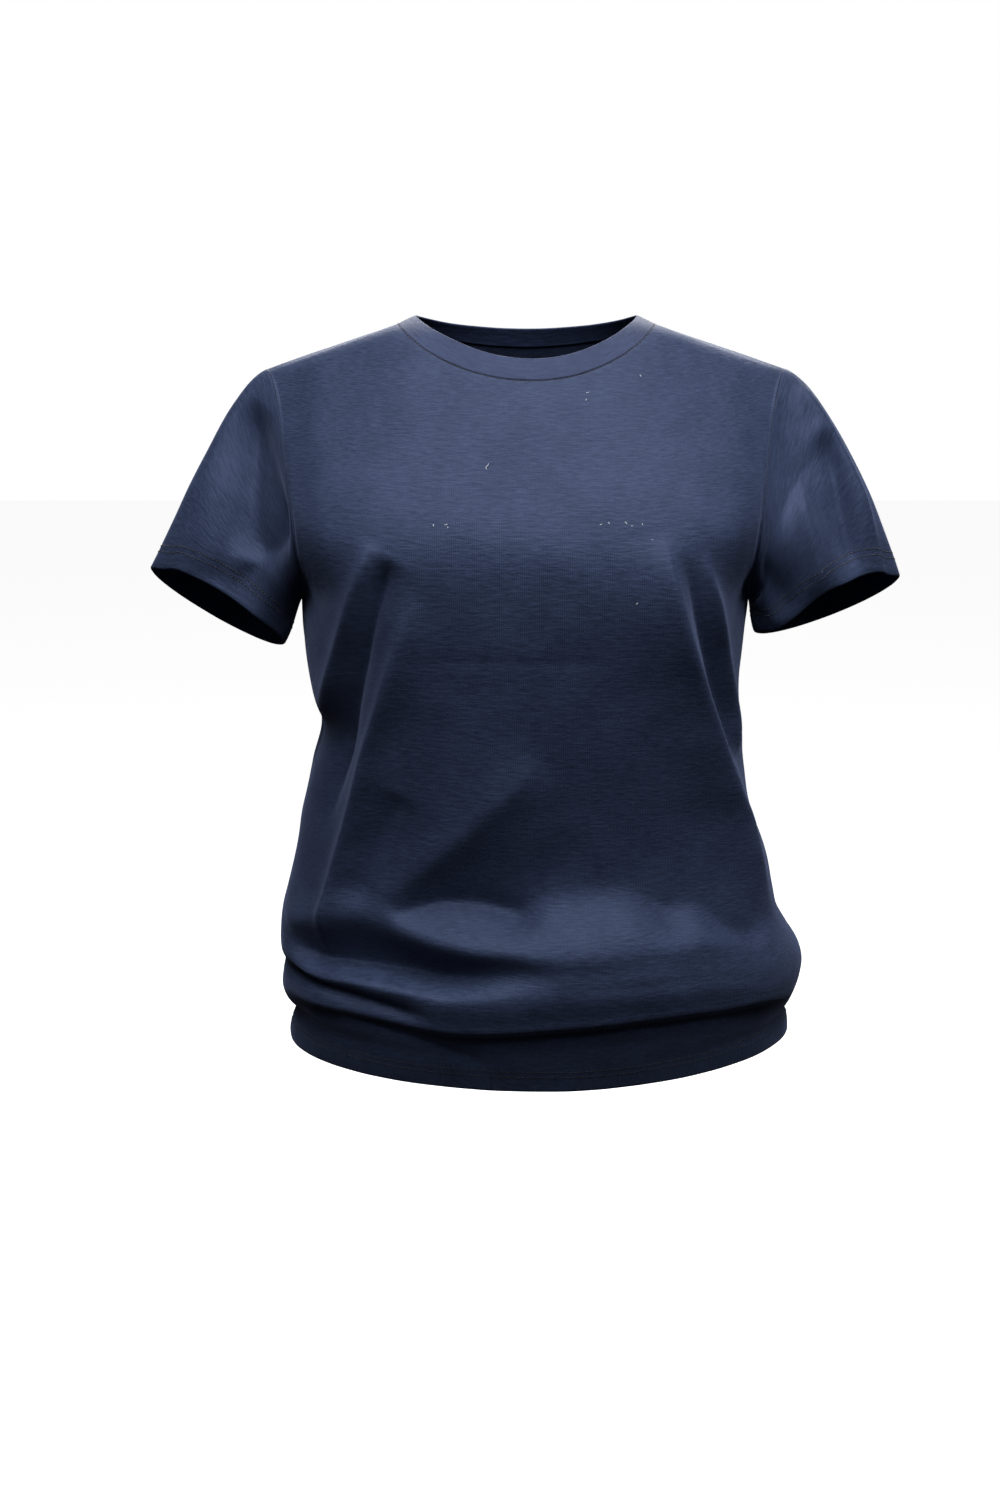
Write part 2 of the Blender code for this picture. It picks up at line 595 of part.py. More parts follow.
def cloth_object(bm, name, finish, wall):
    mesh = bpy.data.meshes.new(name)
    bm.to_mesh(mesh)
    bm.free()
    mesh.shade_smooth()
    mesh.materials.append(finish)
    obj = bpy.data.objects.new(name, mesh)
    thicken = obj.modifiers.new("wall", "SOLIDIFY")
    thicken.thickness = wall
    thicken.offset = -1
    thicken.use_even_offset = True
    return obj


def main():
    for obj in list(bpy.data.objects):
        bpy.data.objects.remove(obj, do_unlink=True)
    collection = bpy.data.collections.new("crew neck t-shirt")
    bpy.context.scene.collection.children.link(collection)

    front, front_u = plain_panel(FRONT, FRONT_COLUMNS)
    back, back_u = plain_panel(BACK, BACK_COLUMNS)
    partners = seam_partners([front, back])
    folded_front = lift_folds(front, front_u, FRONT, partners)
    folded_back = lift_folds(back, back_u, BACK, partners)
    move_to(front, folded_front)
    move_to(back, folded_back)
    surfaces = {
        "front": front,
        "back": back,
        "sleeve_right": plain_sleeve(CUFFS[0]),
        "sleeve_left": plain_sleeve(CUFFS[1]),
        "neckband": plain_band(),
    }
    open_seams(surfaces.values())
    for name, surface in surfaces.items():
        rib = name == "neckband"
        finish = material(name + " rib" if rib else name + " jersey", NAVY)
        piece = cloth_object(surface, name, finish, BAND_CLOTH if rib else CLOTH)
        collection.objects.link(piece)
        print(piece.name, len(piece.data.polygons), "faces")


main()
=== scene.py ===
# %% [markdown]
# # A crew neck t-shirt in navy cotton jersey
# A t-shirt is a simple garment: a front, a back, two sleeves and a band round the neck,
# cut from knitted cotton and sewn edge to edge. It looks simple too, until one tries to
# model it. Nearly all that the eye reads is how soft cloth hangs from the shoulders and
# the chest, and rolls over at the hem. So most of this lesson is about the form of the
# cloth, and only then about the yarn, the seams and the light.
#
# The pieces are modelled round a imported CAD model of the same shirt. Loading it first
# gives the frame: metres, Z up, the front towards -Y, and the origin midway between the
# two points where the neckband crosses the shoulders.

# %% Load the frame
import math
from collections import namedtuple
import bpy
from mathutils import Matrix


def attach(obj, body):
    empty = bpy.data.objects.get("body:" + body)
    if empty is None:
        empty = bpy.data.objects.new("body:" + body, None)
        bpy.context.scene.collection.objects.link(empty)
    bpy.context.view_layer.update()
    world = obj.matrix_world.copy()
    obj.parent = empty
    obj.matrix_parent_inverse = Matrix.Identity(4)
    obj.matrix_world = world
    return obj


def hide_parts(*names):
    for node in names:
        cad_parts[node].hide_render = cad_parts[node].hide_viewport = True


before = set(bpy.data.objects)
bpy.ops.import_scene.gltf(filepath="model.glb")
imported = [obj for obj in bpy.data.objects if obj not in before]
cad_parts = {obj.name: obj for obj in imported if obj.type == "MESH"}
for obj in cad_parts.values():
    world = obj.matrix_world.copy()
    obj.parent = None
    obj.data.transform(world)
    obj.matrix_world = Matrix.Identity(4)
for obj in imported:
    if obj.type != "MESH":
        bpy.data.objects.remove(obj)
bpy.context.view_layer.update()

from types import SimpleNamespace as Net

import bmesh
import bpy
import numpy as np
from mathutils import Matrix, Vector, noise
from mathutils.kdtree import KDTree

print("nodes:", sorted(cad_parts))

# %% [markdown]
# ## Small tools for curves and tables
# A maker describes a garment by a few measurements at a few heights. The tables below do
# the same, and a smooth curve through each column gives every height in between. Working
# on whole arrays of points at once keeps this fast enough for a fine grid of cloth.

# %% Curves and tables
FRONT, BACK = -1, 1     # the way each panel faces, along Y
RIGHT, LEFT = -1, 1     # the wearer's right and left, along X
FACES = {FRONT: "front", BACK: "back"}      # how the tables below name them
SIDE_NAMES = {RIGHT: "right", LEFT: "left"}
CORNER = 0.12           # how softly the rows turn at a corner of a panel
MM = 0.001              # a millimetre, in metres


def column(table, name):
    return np.array([getattr(row, name) for row in table])


def through(table, key, name, at):
    """The smooth curve through one column of a table, read at the given stations."""
    knots = column(table, key)
    values = column(table, name)
    order = np.argsort(knots)
    knots, values = knots[order], values[order]
    slopes = np.gradient(values, knots)
    at = np.clip(at, knots[0], knots[-1])
    i = np.clip(np.searchsorted(knots, at) - 1, 0, len(knots) - 2)
    step = knots[i + 1] - knots[i]
    t = (at - knots[i]) / step
    return (
        (1 + 2 * t) * (1 - t) ** 2 * values[i]
        + t * (1 - t) ** 2 * step * slopes[i]
        + t * t * (3 - 2 * t) * values[i + 1]
        + t * t * (t - 1) * step * slopes[i + 1]
    )


def vectors(x, y, z):
    return np.stack(np.broadcast_arrays(x, y, z), axis=-1).astype(float)


def unit(v):
    return v / np.maximum(np.linalg.norm(v, axis=-1, keepdims=True), 1e-12)


def cubic(p0, p1, p2, p3, t):
    t = np.asarray(t)[..., None]
    s = 1 - t
    return s**3 * p0 + 3 * s * s * t * p1 + 3 * s * t * t * p2 + t**3 * p3


def ease_in(t):
    """0 to 1, starting slowly: rows leave a corner of the panel without a kink."""
    return (np.sqrt(t * t + CORNER**2) - CORNER) / (math.hypot(1, CORNER) - CORNER)


def ease_out(t):
    return 1 - ease_in(1 - t)


def fade(t):
    """1 at t = 0 and 0 from t = 1 on, level at both."""
    t = np.clip(t, 0, 1)
    return 1 - t * t * (3 - 2 * t)


print("fade at 0, a half and 1:", fade(np.array([0, 0.5, 1])))

# %% [markdown]
# ## The form of the body
# The body of a worn t-shirt is a soft tube. It hangs from the shoulders and from the
# fullest part of the chest, falls in to the waist, and here it is pulled down less than
# it is long, so its spare length rolls over above the hem. One could drape it with a
# simulation over a dress form. Measured sections are chosen instead, because they give
# the same outline each time, and the outline is the first thing that the eye checks.
#
# Each panel is a net of rows. A row starts on the centre line and runs out to the edge:
# to the shoulder, then round the armhole, then down the side seam.

# %% Sizes of the body
SHOULDER_HALF, SHOULDER_DROP = 0.1990, -0.0405
NECK_HALF, NECK_DROP = 0.0975, -0.0060
BAND_TOP_HALF = 0.0850
UNDERARM_HALF, UNDERARM_DROP = 0.1760, -0.2150
ARMHOLE_WAIST = 0.0090  # how far the armhole curves in, halfway down
HEM_RIGHT, HEM_LEFT = -0.5790, -0.5710

# The armhole seam swings forward and back: by its turn, from the shoulder to the underarm.
Swing = namedtuple("Swing", "turn front back")
SWINGS = (
    Swing(0.00, 0.0000, 0.0000),
    Swing(0.10, 0.0095, 0.0162),
    Swing(0.20, 0.0185, 0.0320),
    Swing(0.30, 0.0320, 0.0455),
    Swing(0.40, 0.0480, 0.0560),
    Swing(0.50, 0.0640, 0.0620),
    Swing(0.58, 0.0735, 0.0622),
    Swing(0.65, 0.0745, 0.0590),
    Swing(0.75, 0.0610, 0.0485),
    Swing(0.85, 0.0360, 0.0320),
    Swing(0.93, 0.0165, 0.0155),
    Swing(1.00, 0.0000, 0.0000),
)

# How far out each side seam lies, by its height.
Side = namedtuple("Side", "z right left")
SIDES = (
    Side(-0.215, 0.1760, 0.1760),
    Side(-0.252, 0.1742, 0.1714),
    Side(-0.284, 0.1686, 0.1660),
    Side(-0.300, 0.1636, 0.1655),
    Side(-0.316, 0.1606, 0.1682),
    Side(-0.349, 0.1690, 0.1716),
    Side(-0.382, 0.1770, 0.1756),
    Side(-0.415, 0.1826, 0.1886),
    Side(-0.449, 0.1913, 0.1986),
    Side(-0.466, 0.1957, 0.2040),
    Side(-0.483, 0.1976, 0.2135),
    Side(-0.500, 0.1972, 0.2232),
    Side(-0.509, 0.1946, 0.2253),
    Side(-0.520, 0.1962, 0.2243),
    Side(-0.534, 0.1972, 0.2203),
    Side(-0.543, 0.1940, 0.2170),
    Side(-0.551, 0.1874, 0.2128),
    Side(-0.560, 0.1897, 0.2154),
    Side(-0.572, 0.1928, 0.2166),
    Side(-0.587, 0.1906, 0.2160),
)

# The middle of each panel, by its height: its depth, and how far it leans to the left.
Centre = namedtuple("Centre", "z front back shift")
CENTRES = (
    Centre(-0.024, -0.0560, 0.0560, 0.000),
    Centre(-0.047, -0.0710, 0.0690, 0.004),
    Centre(-0.085, -0.0920, 0.0850, 0.003),
    Centre(-0.125, -0.1140, 0.0960, 0.001),
    Centre(-0.150, -0.1270, 0.0990, 0.000),
    Centre(-0.170, -0.1325, 0.1000, 0.000),
    Centre(-0.190, -0.1335, 0.0990, 0.000),
    Centre(-0.215, -0.1325, 0.0970, 0.000),
    Centre(-0.260, -0.1285, 0.0910, 0.001),
    Centre(-0.320, -0.1205, 0.0840, 0.002),
    Centre(-0.370, -0.1105, 0.0840, 0.004),
    Centre(-0.420, -0.1040, 0.0900, 0.007),
    Centre(-0.470, -0.1085, 0.0970, 0.010),
    Centre(-0.520, -0.1170, 0.1010, 0.011),
    Centre(-0.545, -0.1155, 0.1020, 0.011),
    Centre(-0.590, -0.1030, 0.1020, 0.012),
)

# Rows of the net, by their station: the height of the middle, the way the row arrives at
# the edge, and how far it keeps to its way at the middle (flat) and at the edge (reach).
Row = namedtuple("Row", "at front_z back_z out across up flat reach")
ROWS = (
    Row(0.0, -0.0470, -0.0240, 0.04, 1.00, 0.00, 0.70, 0.56),
    Row(0.5, -0.0860, -0.0600, 0.20, 0.85, 0.40, 0.74, 0.30),
    Row(1.0, -0.1250, -0.1000, 0.50, 0.75, 0.20, 0.78, 0.22),
    Row(1.5, -0.1600, -0.1480, 0.90, 0.40, 0.00, 0.80, 0.26),
    Row(2.0, -0.2050, -0.2000, 0.20, 0.96, 0.00, 0.80, 0.66),
    Row(2.2, -0.2580, -0.2560, 0.00, 1.00, 0.00, 0.74, 0.68),
    Row(3.0, -0.5900, -0.5830, 0.00, 1.00, 0.00, 0.56, 0.58),
)

FINER = 5               # the net is this much finer than the plain form needs, for its folds
SHOULDER_ROWS, ARMHOLE_ROWS, SIDE_ROWS = 5 * FINER, 9 * FINER, 28 * FINER
FRONT_COLUMNS, BACK_COLUMNS = 32 * FINER, 24 * FINER
ROWS_TO_HEM = 0.35      # how much closer together the rows lie at the hem
RELAX_PASSES = 6 * FINER * FINER
RELAX_FROM = 0.1        # the net is eased from here on, down and across
RELAX_FULL = 0.3        # and this much further on it is eased in full
RELAX_END = 0.4         # until this far below the underarm
print("front net:", FRONT_COLUMNS, "x", SHOULDER_ROWS + ARMHOLE_ROWS + SIDE_ROWS)


# %% The edges of a panel
def armhole(angle, side, face):
    """The armhole seam: 0 at the shoulder, half a turn at the underarm."""
    cos, sin = np.cos(angle), np.sin(angle)
    swing = through(SWINGS, "turn", FACES[face], angle / math.pi)
    x = (SHOULDER_HALF + UNDERARM_HALF) / 2 - ARMHOLE_WAIST * sin
    x = x + (SHOULDER_HALF - UNDERARM_HALF) / 2 * cos
    z = (SHOULDER_DROP + UNDERARM_DROP) / 2 + (SHOULDER_DROP - UNDERARM_DROP) / 2 * cos
    return vectors(side * x, face * swing, z)


def armhole_turn(share):
    """How far round the armhole a share of its rows reaches."""
    return math.pi * ease_out(ease_in(share))


def panel_edge(v, side, face):
    """The edge of a panel: along the shoulder, the armhole and the side seam."""
    shoulder = ease_out(np.clip(v, 0, 1))
    down = ease_in(np.clip(v - 2, 0, 1))
    x = side * (NECK_HALF + (SHOULDER_HALF - NECK_HALF) * shoulder)
    z = NECK_DROP + (SHOULDER_DROP - NECK_DROP) * shoulder
    on_shoulder = vectors(x, 0 * v, z)
    z = UNDERARM_DROP + ((HEM_RIGHT if side == RIGHT else HEM_LEFT) - UNDERARM_DROP) * down
    half = through(SIDES, "z", SIDE_NAMES[side], z)
    on_side = vectors(side * half, 0 * v, z)
    on_armhole = armhole(armhole_turn(np.clip(v - 1, 0, 1)), side, face)
    v = v[..., None]
    return np.where(v <= 1, on_shoulder, np.where(v < 2, on_armhole, on_side))


# %% The net between the edges
def panel(u, v, face):
    """The plain front or back: u from -1 to 1 across, v from 0 to 3 down."""
    side = np.where(u < 0, RIGHT, LEFT)
    z = through(ROWS, "at", FACES[face] + "_z", v)
    y = through(CENTRES, "z", FACES[face], z)
    centre = vectors(through(CENTRES, "z", "shift", z), y, z)
    edge = np.where(
        (side == RIGHT)[..., None], panel_edge(v, RIGHT, face), panel_edge(v, LEFT, face)
    )
    arrive = unit(
        vectors(
            side * through(ROWS, "at", "out", v),
            -face * through(ROWS, "at", "across", v),
            through(ROWS, "at", "up", v),
        )
    )
    half = np.abs(edge[..., 0] - centre[..., 0])
    leave = centre + vectors(side * through(ROWS, "at", "flat", v) * half, 0, 0)
    depth = np.sum((edge - centre) * arrive, axis=-1)
    reach = through(ROWS, "at", "reach", v) * depth
    return cubic(centre, leave, edge - arrive * reach[..., None], edge, np.abs(u))


def relaxed(places, u, v):
    """The net, eased where the shoulder, the armhole and the chest meet."""
    down = (1 - fade((v - RELAX_FROM) / RELAX_FULL)) * fade((v - 2) / RELAX_END)
    share = down[:, None] * (1 - fade((np.abs(u) - RELAX_FROM) / RELAX_FULL))[None, :]
    share = share[1:-1, 1:-1, None] / 2
    for _ in range(RELAX_PASSES):
        inner = places[1:-1, 1:-1]
        beside = places[1:-1, :-2] + places[1:-1, 2:] + places[:-2, 1:-1] + places[2:, 1:-1]
        inner += (beside / 4 - inner) * share
    return places


# The stretched part of the front, by the distance from the middle: where it starts, where
# it breaks over the chest, and over what height it then falls away.
Chest = namedtuple("Chest", "across top_z top_y break_z break_y fall")
CHEST = (
    Chest(0.000, -0.046, -0.0705, -0.1660, -0.1345, 0.100),
    Chest(0.050, -0.038, -0.0640, -0.1630, -0.1335, 0.100),
    Chest(0.095, -0.018, -0.0440, -0.1590, -0.1285, 0.100),
    Chest(0.135, -0.028, -0.0320, -0.1550, -0.1170, 0.100),
    Chest(0.160, -0.038, -0.0260, -0.1520, -0.1010, 0.070),
    Chest(0.176, -0.046, -0.0200, -0.1490, -0.0830, 0.036),
    Chest(0.200, -0.052, -0.0100, -0.1470, -0.0600, 0.030),
)
CHEST_TOP = 0.024       # how far above the table its flat begins
CHEST_SOFT = 0.09       # how softly the chest turns over, as a share
CHEST_EDGE = 0.04       # the share of a row, at its end, that stays sewn


def stretched(places, u):
    """The front, pulled flat from the shoulders to the chest, from where it falls."""
    x, z = np.abs(places[..., 0]), places[..., 2]
    read = {name: through(CHEST, "across", name, x) for name in Chest._fields[1:]}
    share = (read["top_z"] - z) / (read["top_z"] - read["break_z"])
    share = share - CHEST_SOFT * np.log1p(np.exp((share - 1) / CHEST_SOFT))
    flat = read["top_y"] + (read["break_y"] - read["top_y"]) * share
    inside = fade((z - read["top_z"]) / CHEST_TOP)
    inside = inside * fade((read["break_z"] - z) / read["fall"])
    inside = inside * fade((np.abs(u) - 1 + CHEST_EDGE) / CHEST_EDGE)
    places[..., 1] += (flat - places[..., 1]) * inside
    return places


def row_stations():
    """The stations of a panel's rows: shoulder, armhole and side seam."""
    shoulder = np.arange(SHOULDER_ROWS) / SHOULDER_ROWS
    arm = 1 + np.arange(ARMHOLE_ROWS) / ARMHOLE_ROWS
    side = np.arange(SIDE_ROWS + 1) / SIDE_ROWS
    side = 2 + side + ROWS_TO_HEM * np.sin(math.pi * side) / math.pi
    return np.concatenate([shoulder, arm, side])


def plain_panel(face, columns):
    """The front or back before its folds."""
    stations = row_stations()
    u = np.arange(columns + 1) / columns * 2 - 1
    places = relaxed(panel(*np.meshgrid(u, stations), face), u, stations)
    return stretched(places, u) if face == FRONT else places


plain_front = plain_panel(FRONT, FRONT_COLUMNS)
plain_back = plain_panel(BACK, BACK_COLUMNS)
print("front depth at the chest: %.0f mm" % (-plain_front[..., 1].min() / MM))

# %% [markdown]
# ## The folds of the body
# Jersey is soft but springy. It makes long round folds where it hangs from the chest,
# and short tight ones where its spare length is pushed together above the hem. Noise
# would give folds of no cause, so each is placed one by one, as a line with a height and
# two widths: a fold that hangs is steep on its underside and easy on its upper side.

# %% Folds that lie on one panel
# Each fold is a line through three points, with its height, its width to either side and
# how broad its top is. A fold with a negative height is a hollow.
Fold = namedtuple("Fold", "x1 z1 x2 z2 x3 z3 height right left edge")
FRONT_FOLDS = (
    # The wearer's right: the sharp fold from the chest to the waist, the hollow beside
    # it, the broad fold to the hip, and the hollow that the swag leaves beside that.
    Fold(-0.113, -0.158, -0.1355, -0.232, -0.160, -0.312, 0.0110, 0.007, 0.010, 0.002),
    Fold(-0.098, -0.172, -0.1250, -0.252, -0.158, -0.400, -0.0160, 0.009, 0.007, 0.003),
    Fold(-0.083, -0.195, -0.1260, -0.354, -0.1685, -0.512, 0.0130, 0.007, 0.009, 0.002),
    Fold(-0.095, -0.352, -0.114, -0.396, -0.1385, -0.460, -0.0050, 0.008, 0.012, 0.005),
    # The wearer's left: two folds side by side, and the hollow that parts them.
    Fold(0.097, -0.152, 0.1335, -0.300, 0.196, -0.472, 0.0190, 0.024, 0.0075, 0.0025),
    Fold(0.114, -0.168, 0.1338, -0.258, 0.154, -0.338, -0.0075, 0.005, 0.005, 0.0015),
    Fold(0.128, -0.166, 0.146, -0.258, 0.162, -0.338, 0.0110, 0.006, 0.0060, 0.0020),
    # The belly: the swag from the broad fold, and the hollow arch under it.
    Fold(0.012, -0.322, -0.052, -0.387, -0.118, -0.452, 0.0100, 0.020, 0.014, 0.008),
    Fold(-0.106, -0.452, -0.047, -0.439, 0.012, -0.457, -0.0110, 0.005, 0.018, 0.003),
    # Under the roll on the wearer's right: a first crease and a thin fold.
    Fold(-0.196, -0.508, -0.137, -0.515, -0.070, -0.527, -0.0100, 0.004, 0.006, 0.002),
    Fold(-0.140, -0.534, -0.080, -0.547, -0.030, -0.568, -0.0030, 0.004, 0.004, 0.002),
    # The line left by the fold it lay in on the shelf.
    Fold(-0.090, -0.249, -0.012, -0.2485, 0.064, -0.249, -0.0007, 0.003, 0.003, 0.001),
)
BACK_FOLDS = (
    Fold(-0.100, -0.150, -0.120, -0.260, -0.142, -0.380, 0.0080, 0.020, 0.012, 0.004),
    Fold(-0.126, -0.180, -0.140, -0.250, -0.158, -0.310, 0.0050, 0.010, 0.007, 0.003),
    Fold(0.095, -0.170, 0.117, -0.290, 0.152, -0.440, 0.0090, 0.012, 0.018, 0.004),
    Fold(-0.030, -0.230, -0.036, -0.330, -0.060, -0.440, 0.0055, 0.022, 0.018, 0.009),
    Fold(0.040, -0.260, 0.044, -0.350, 0.070, -0.450, 0.0055, 0.018, 0.022, 0.009),
    Fold(-0.085, -0.440, 0.000, -0.425, 0.080, -0.448, 0.0055, 0.014, 0.012, 0.006),
    Fold(0.020, -0.478, 0.080, -0.470, 0.140, -0.452, -0.0060, 0.006, 0.008, 0.003),
    Fold(-0.150, -0.470, -0.100, -0.482, -0.040, -0.486, -0.0055, 0.006, 0.008, 0.003),
)
FOLD_STEPS = 12         # straight steps along the line of a fold
FOLD_FADE = 0.05        # share of a half panel over which its folds die out at the seam
FOLD_ENDS = 3           # the higher, the later a fold dies out towards its own ends


def fold_height(fold, x, z):
    """How far one fold lifts the cloth at x, z: its line bends through its middle point."""
    t = np.linspace(0, 1, FOLD_STEPS + 1)
    bend_x = 2 * fold.x2 - (fold.x1 + fold.x3) / 2
    bend_z = 2 * fold.z2 - (fold.z1 + fold.z3) / 2
    line_x = (1 - t) ** 2 * fold.x1 + 2 * t * (1 - t) * bend_x + t * t * fold.x3
    line_z = (1 - t) ** 2 * fold.z1 + 2 * t * (1 - t) * bend_z + t * t * fold.z3
    dx, dz = np.diff(line_x), np.diff(line_z)
    px, pz = x[..., None] - line_x[:-1], z[..., None] - line_z[:-1]
    along = np.clip((px * dx + pz * dz) / (dx * dx + dz * dz), 0, 1)
    off_x, off_z = px - along * dx, pz - along * dz
    distance = np.hypot(off_x, off_z)
    nearest = np.argmin(distance, axis=-1)[..., None]
    distance = np.take_along_axis(distance, nearest, -1)[..., 0]
    cross = np.take_along_axis(dx * off_z - dz * off_x, nearest, -1)[..., 0]
    share = (nearest[..., 0] + np.take_along_axis(along, nearest, -1)[..., 0]) / FOLD_STEPS
    width = np.where(cross < 0, fold.right, fold.left)
    rounded = np.sqrt(distance**2 + fold.edge**2) - fold.edge
    return fold.height * np.exp(-rounded / width) * fade(np.abs(2 * share - 1) ** FOLD_ENDS)


print(len(FRONT_FOLDS), "folds in front,", len(BACK_FOLDS), "behind")

# %% [markdown]
# ## The roll over the hem
# The spare length makes one roll all round the body. Above it the cloth steps out like a
# shelf, at its crest it hangs over a little, and under it runs a deep crease. These
# follow the body, so their table runs from side seam to side seam, with the same values
# at the seams in front and behind.

# %% Sections of the roll
LEVELS = ("dip", "lobe", "hollow", "crest", "brow", "crease")
Roll = namedtuple(
    "Roll", ["across"] + [level + end for level in LEVELS for end in ("_z", "")]
)       # for each level, how high it lies, in metres, and how far it stands out, in mm
RIGHT_SEAM = (-0.430, 0, -0.455, 0, -0.468, 0, -0.490, 0, -0.530, 0, -0.551, 0)
LEFT_SEAM = (-0.440, 0, -0.470, 0, -0.482, 0, -0.508, 0, -0.530, 0, -0.551, 0)
FRONT_ROLL = (
    Roll(-1.00, *RIGHT_SEAM),
    Roll(-0.93, -0.440, 1, -0.466, 5, -0.484, 0, -0.500, 6, -0.524, 4, -0.544, -2),
    Roll(-0.85, -0.436, 1, -0.460, 4, -0.492, -12, -0.503, 11, -0.526, 9, -0.537, -1),
    Roll(-0.67, -0.430, 0, -0.450, 3, -0.493, -21, -0.504, 12, -0.527, 8, -0.536, 1),
    Roll(-0.465, -0.448, 0, -0.462, 6, -0.493, -19, -0.508, 12, -0.531, 8, -0.540, 1),
    Roll(-0.315, -0.448, -1, -0.470, 12, -0.495, -11, -0.512, 13, -0.534, 9, -0.544, 1),
    Roll(-0.19, -0.446, -2, -0.474, 15, -0.494, -1, -0.511, 14, -0.534, 10, -0.544, 1),
    Roll(-0.05, -0.443, -2, -0.476, 19, -0.492, 10, -0.508, 16, -0.532, 11, -0.542, 2),
    Roll(0.10, -0.428, -2, -0.480, 21, -0.493, 18, -0.505, 18, -0.529, 12, -0.539, 2),
    Roll(0.25, -0.423, -2, -0.480, 22, -0.494, 20, -0.504, 19, -0.526, 13, -0.536, 3),
    Roll(0.40, -0.423, -1, -0.478, 21, -0.494, 20, -0.503, 18, -0.523, 12, -0.534, 3),
    Roll(0.55, -0.440, -1, -0.478, 18, -0.492, 17, -0.503, 16, -0.521, 11, -0.532, 2),
    Roll(0.64, -0.439, 0, -0.477, 16, -0.491, 15, -0.503, 14, -0.521, 10, -0.532, 2),
    Roll(0.83, -0.470, 1, -0.490, 9, -0.500, 10, -0.510, 9, -0.522, 8, -0.535, -1),
    Roll(1.00, *LEFT_SEAM),
)
BACK_ROLL = (
    Roll(-1.00, *RIGHT_SEAM),
    Roll(-0.82, -0.440, 0, -0.462, 4, -0.480, 0, -0.500, 8, -0.526, 6, -0.540, -3),
    Roll(-0.55, -0.430, -2, -0.458, 7, -0.484, 2, -0.508, 11, -0.530, 8, -0.542, -4),
    Roll(-0.20, -0.418, -2, -0.470, 14, -0.488, 13, -0.506, 12, -0.532, 9, -0.545, -4),
    Roll(0.10, -0.440, -2, -0.476, 12, -0.490, 12, -0.505, 11, -0.531, 9, -0.544, -3),
    Roll(0.35, -0.428, -1, -0.466, 13, -0.486, 6, -0.509, 12, -0.530, 9, -0.542, -4),
    Roll(0.62, -0.436, -1, -0.460, 6, -0.482, 0, -0.506, 10, -0.528, 7, -0.540, -3),
    Roll(0.84, -0.455, 0, -0.478, 5, -0.494, 5, -0.508, 6, -0.528, 5, -0.545, -2),
    Roll(1.00, *LEFT_SEAM),
)
RISE_FROM, HEM_FROM = 0.060, 0.016  # how far above the dip and below the crease it fades


def roll_height(at, z, table):
    """How far the roll stands out: it eases from one level of the table to the next."""
    depth = [through(table, "across", level + "_z", at) for level in LEVELS]
    height = [through(table, "across", level, at) * MM for level in LEVELS]
    depth = [depth[0] + RISE_FROM] + depth + [depth[-1] - HEM_FROM]
    height = [0 * at] + height + [0 * at]
    lift = 0
    for start, end, low, high in zip(depth, depth[1:], height, height[1:]):
        lift = lift + (high - low) * (1 - fade((start - z) / (start - end)))
    return lift


def body_lift(places, face):
    """How far the folds and the roll lift the cloth."""
    x, z = places[..., 0], places[..., 2]
    half = np.where(
        x < 0, through(SIDES, "z", "right", z), through(SIDES, "z", "left", z)
    )
    table = FRONT_ROLL if face == FRONT else BACK_ROLL
    at = np.clip(x / half, -1, 1)
    lift = roll_height(at, z, table)
    columns = places.shape[1] - 1
    u = np.abs(np.arange(columns + 1) / columns * 2 - 1)[None, :]
    inside = fade((u - 1 + FOLD_FADE) / FOLD_FADE)
    for fold in FRONT_FOLDS if face == FRONT else BACK_FOLDS:
        lift += inside * fold_height(fold, x, z)
    return lift


# %% [markdown]
# ## Shared edges
# Two pieces that are sewn together move as one at the seam. Their nets have the same
# number of points there, at the same places, so each pair only needs one common way out:
# the mean of the two pieces' own normals. It keeps the seams closed whatever the folds
# do to the cloth.


# %% Normals, and normals that sewn edges share
# From here on a piece of cloth is a Net: its places, and its normals, the way out at each.
SEWN_WITHIN = 1e-5      # points closer than this are one point of a seam


def grid_normals(places, outward):
    """The way out of the cloth at each point of a net."""
    across, down = np.gradient(places, axis=1), np.gradient(places, axis=0)
    normals = unit(np.cross(down, across))
    middle = normals[places.shape[0] // 2, places.shape[1] // 2]
    return normals if np.dot(middle, outward) > 0 else -normals


def rim(shape):
    """The rows and columns of the points on the border of a net."""
    down, across = np.indices(shape)
    on = (down == 0) | (down == shape[0] - 1) | (across == 0) | (across == shape[1] - 1)
    return np.argwhere(on)


def share_normals(pieces):
    """Gives points of all pieces that lie at one place one common normal."""
    spots = [(piece, tuple(at)) for piece in pieces for at in rim(piece.places.shape[:2])]
    tree = KDTree(len(spots))
    for index, (piece, at) in enumerate(spots):
        tree.insert(piece.places[at], index)
    tree.balance()
    shared = []
    for piece, at in spots:
        found = tree.find_range(piece.places[at], SEWN_WITHIN)
        beside = [spots[index] for _, index, _ in found]
        shared.append(unit(sum(other.normals[at] for other, at in beside)))
    for (piece, at), normal in zip(spots, shared):
        piece.normals[at] = normal


front = Net(places=plain_front, normals=grid_normals(plain_front, (0, FRONT, 0)))
back = Net(places=plain_back, normals=grid_normals(plain_back, (0, BACK, 0)))
share_normals([front, back])
for piece, face in ((front, FRONT), (back, BACK)):
    lift = body_lift(piece.places, face)
    piece.places = piece.places + piece.normals * lift[..., None]
    piece.normals = grid_normals(piece.places, (0, face, 0))
    print("highest fold: %.1f mm" % (lift.max() / MM))

# %% [markdown]
# ## The sleeves
# A set-in sleeve starts on the armhole seam and ends at its cuff. On the real one the
# head of the sleeve stands up a little at the seam, then the cloth falls with the arm.
# Each line of the net is a curve from a point of the armhole to a point of the cuff, so
# the seam fits exactly and the cuff is a clean open oval.

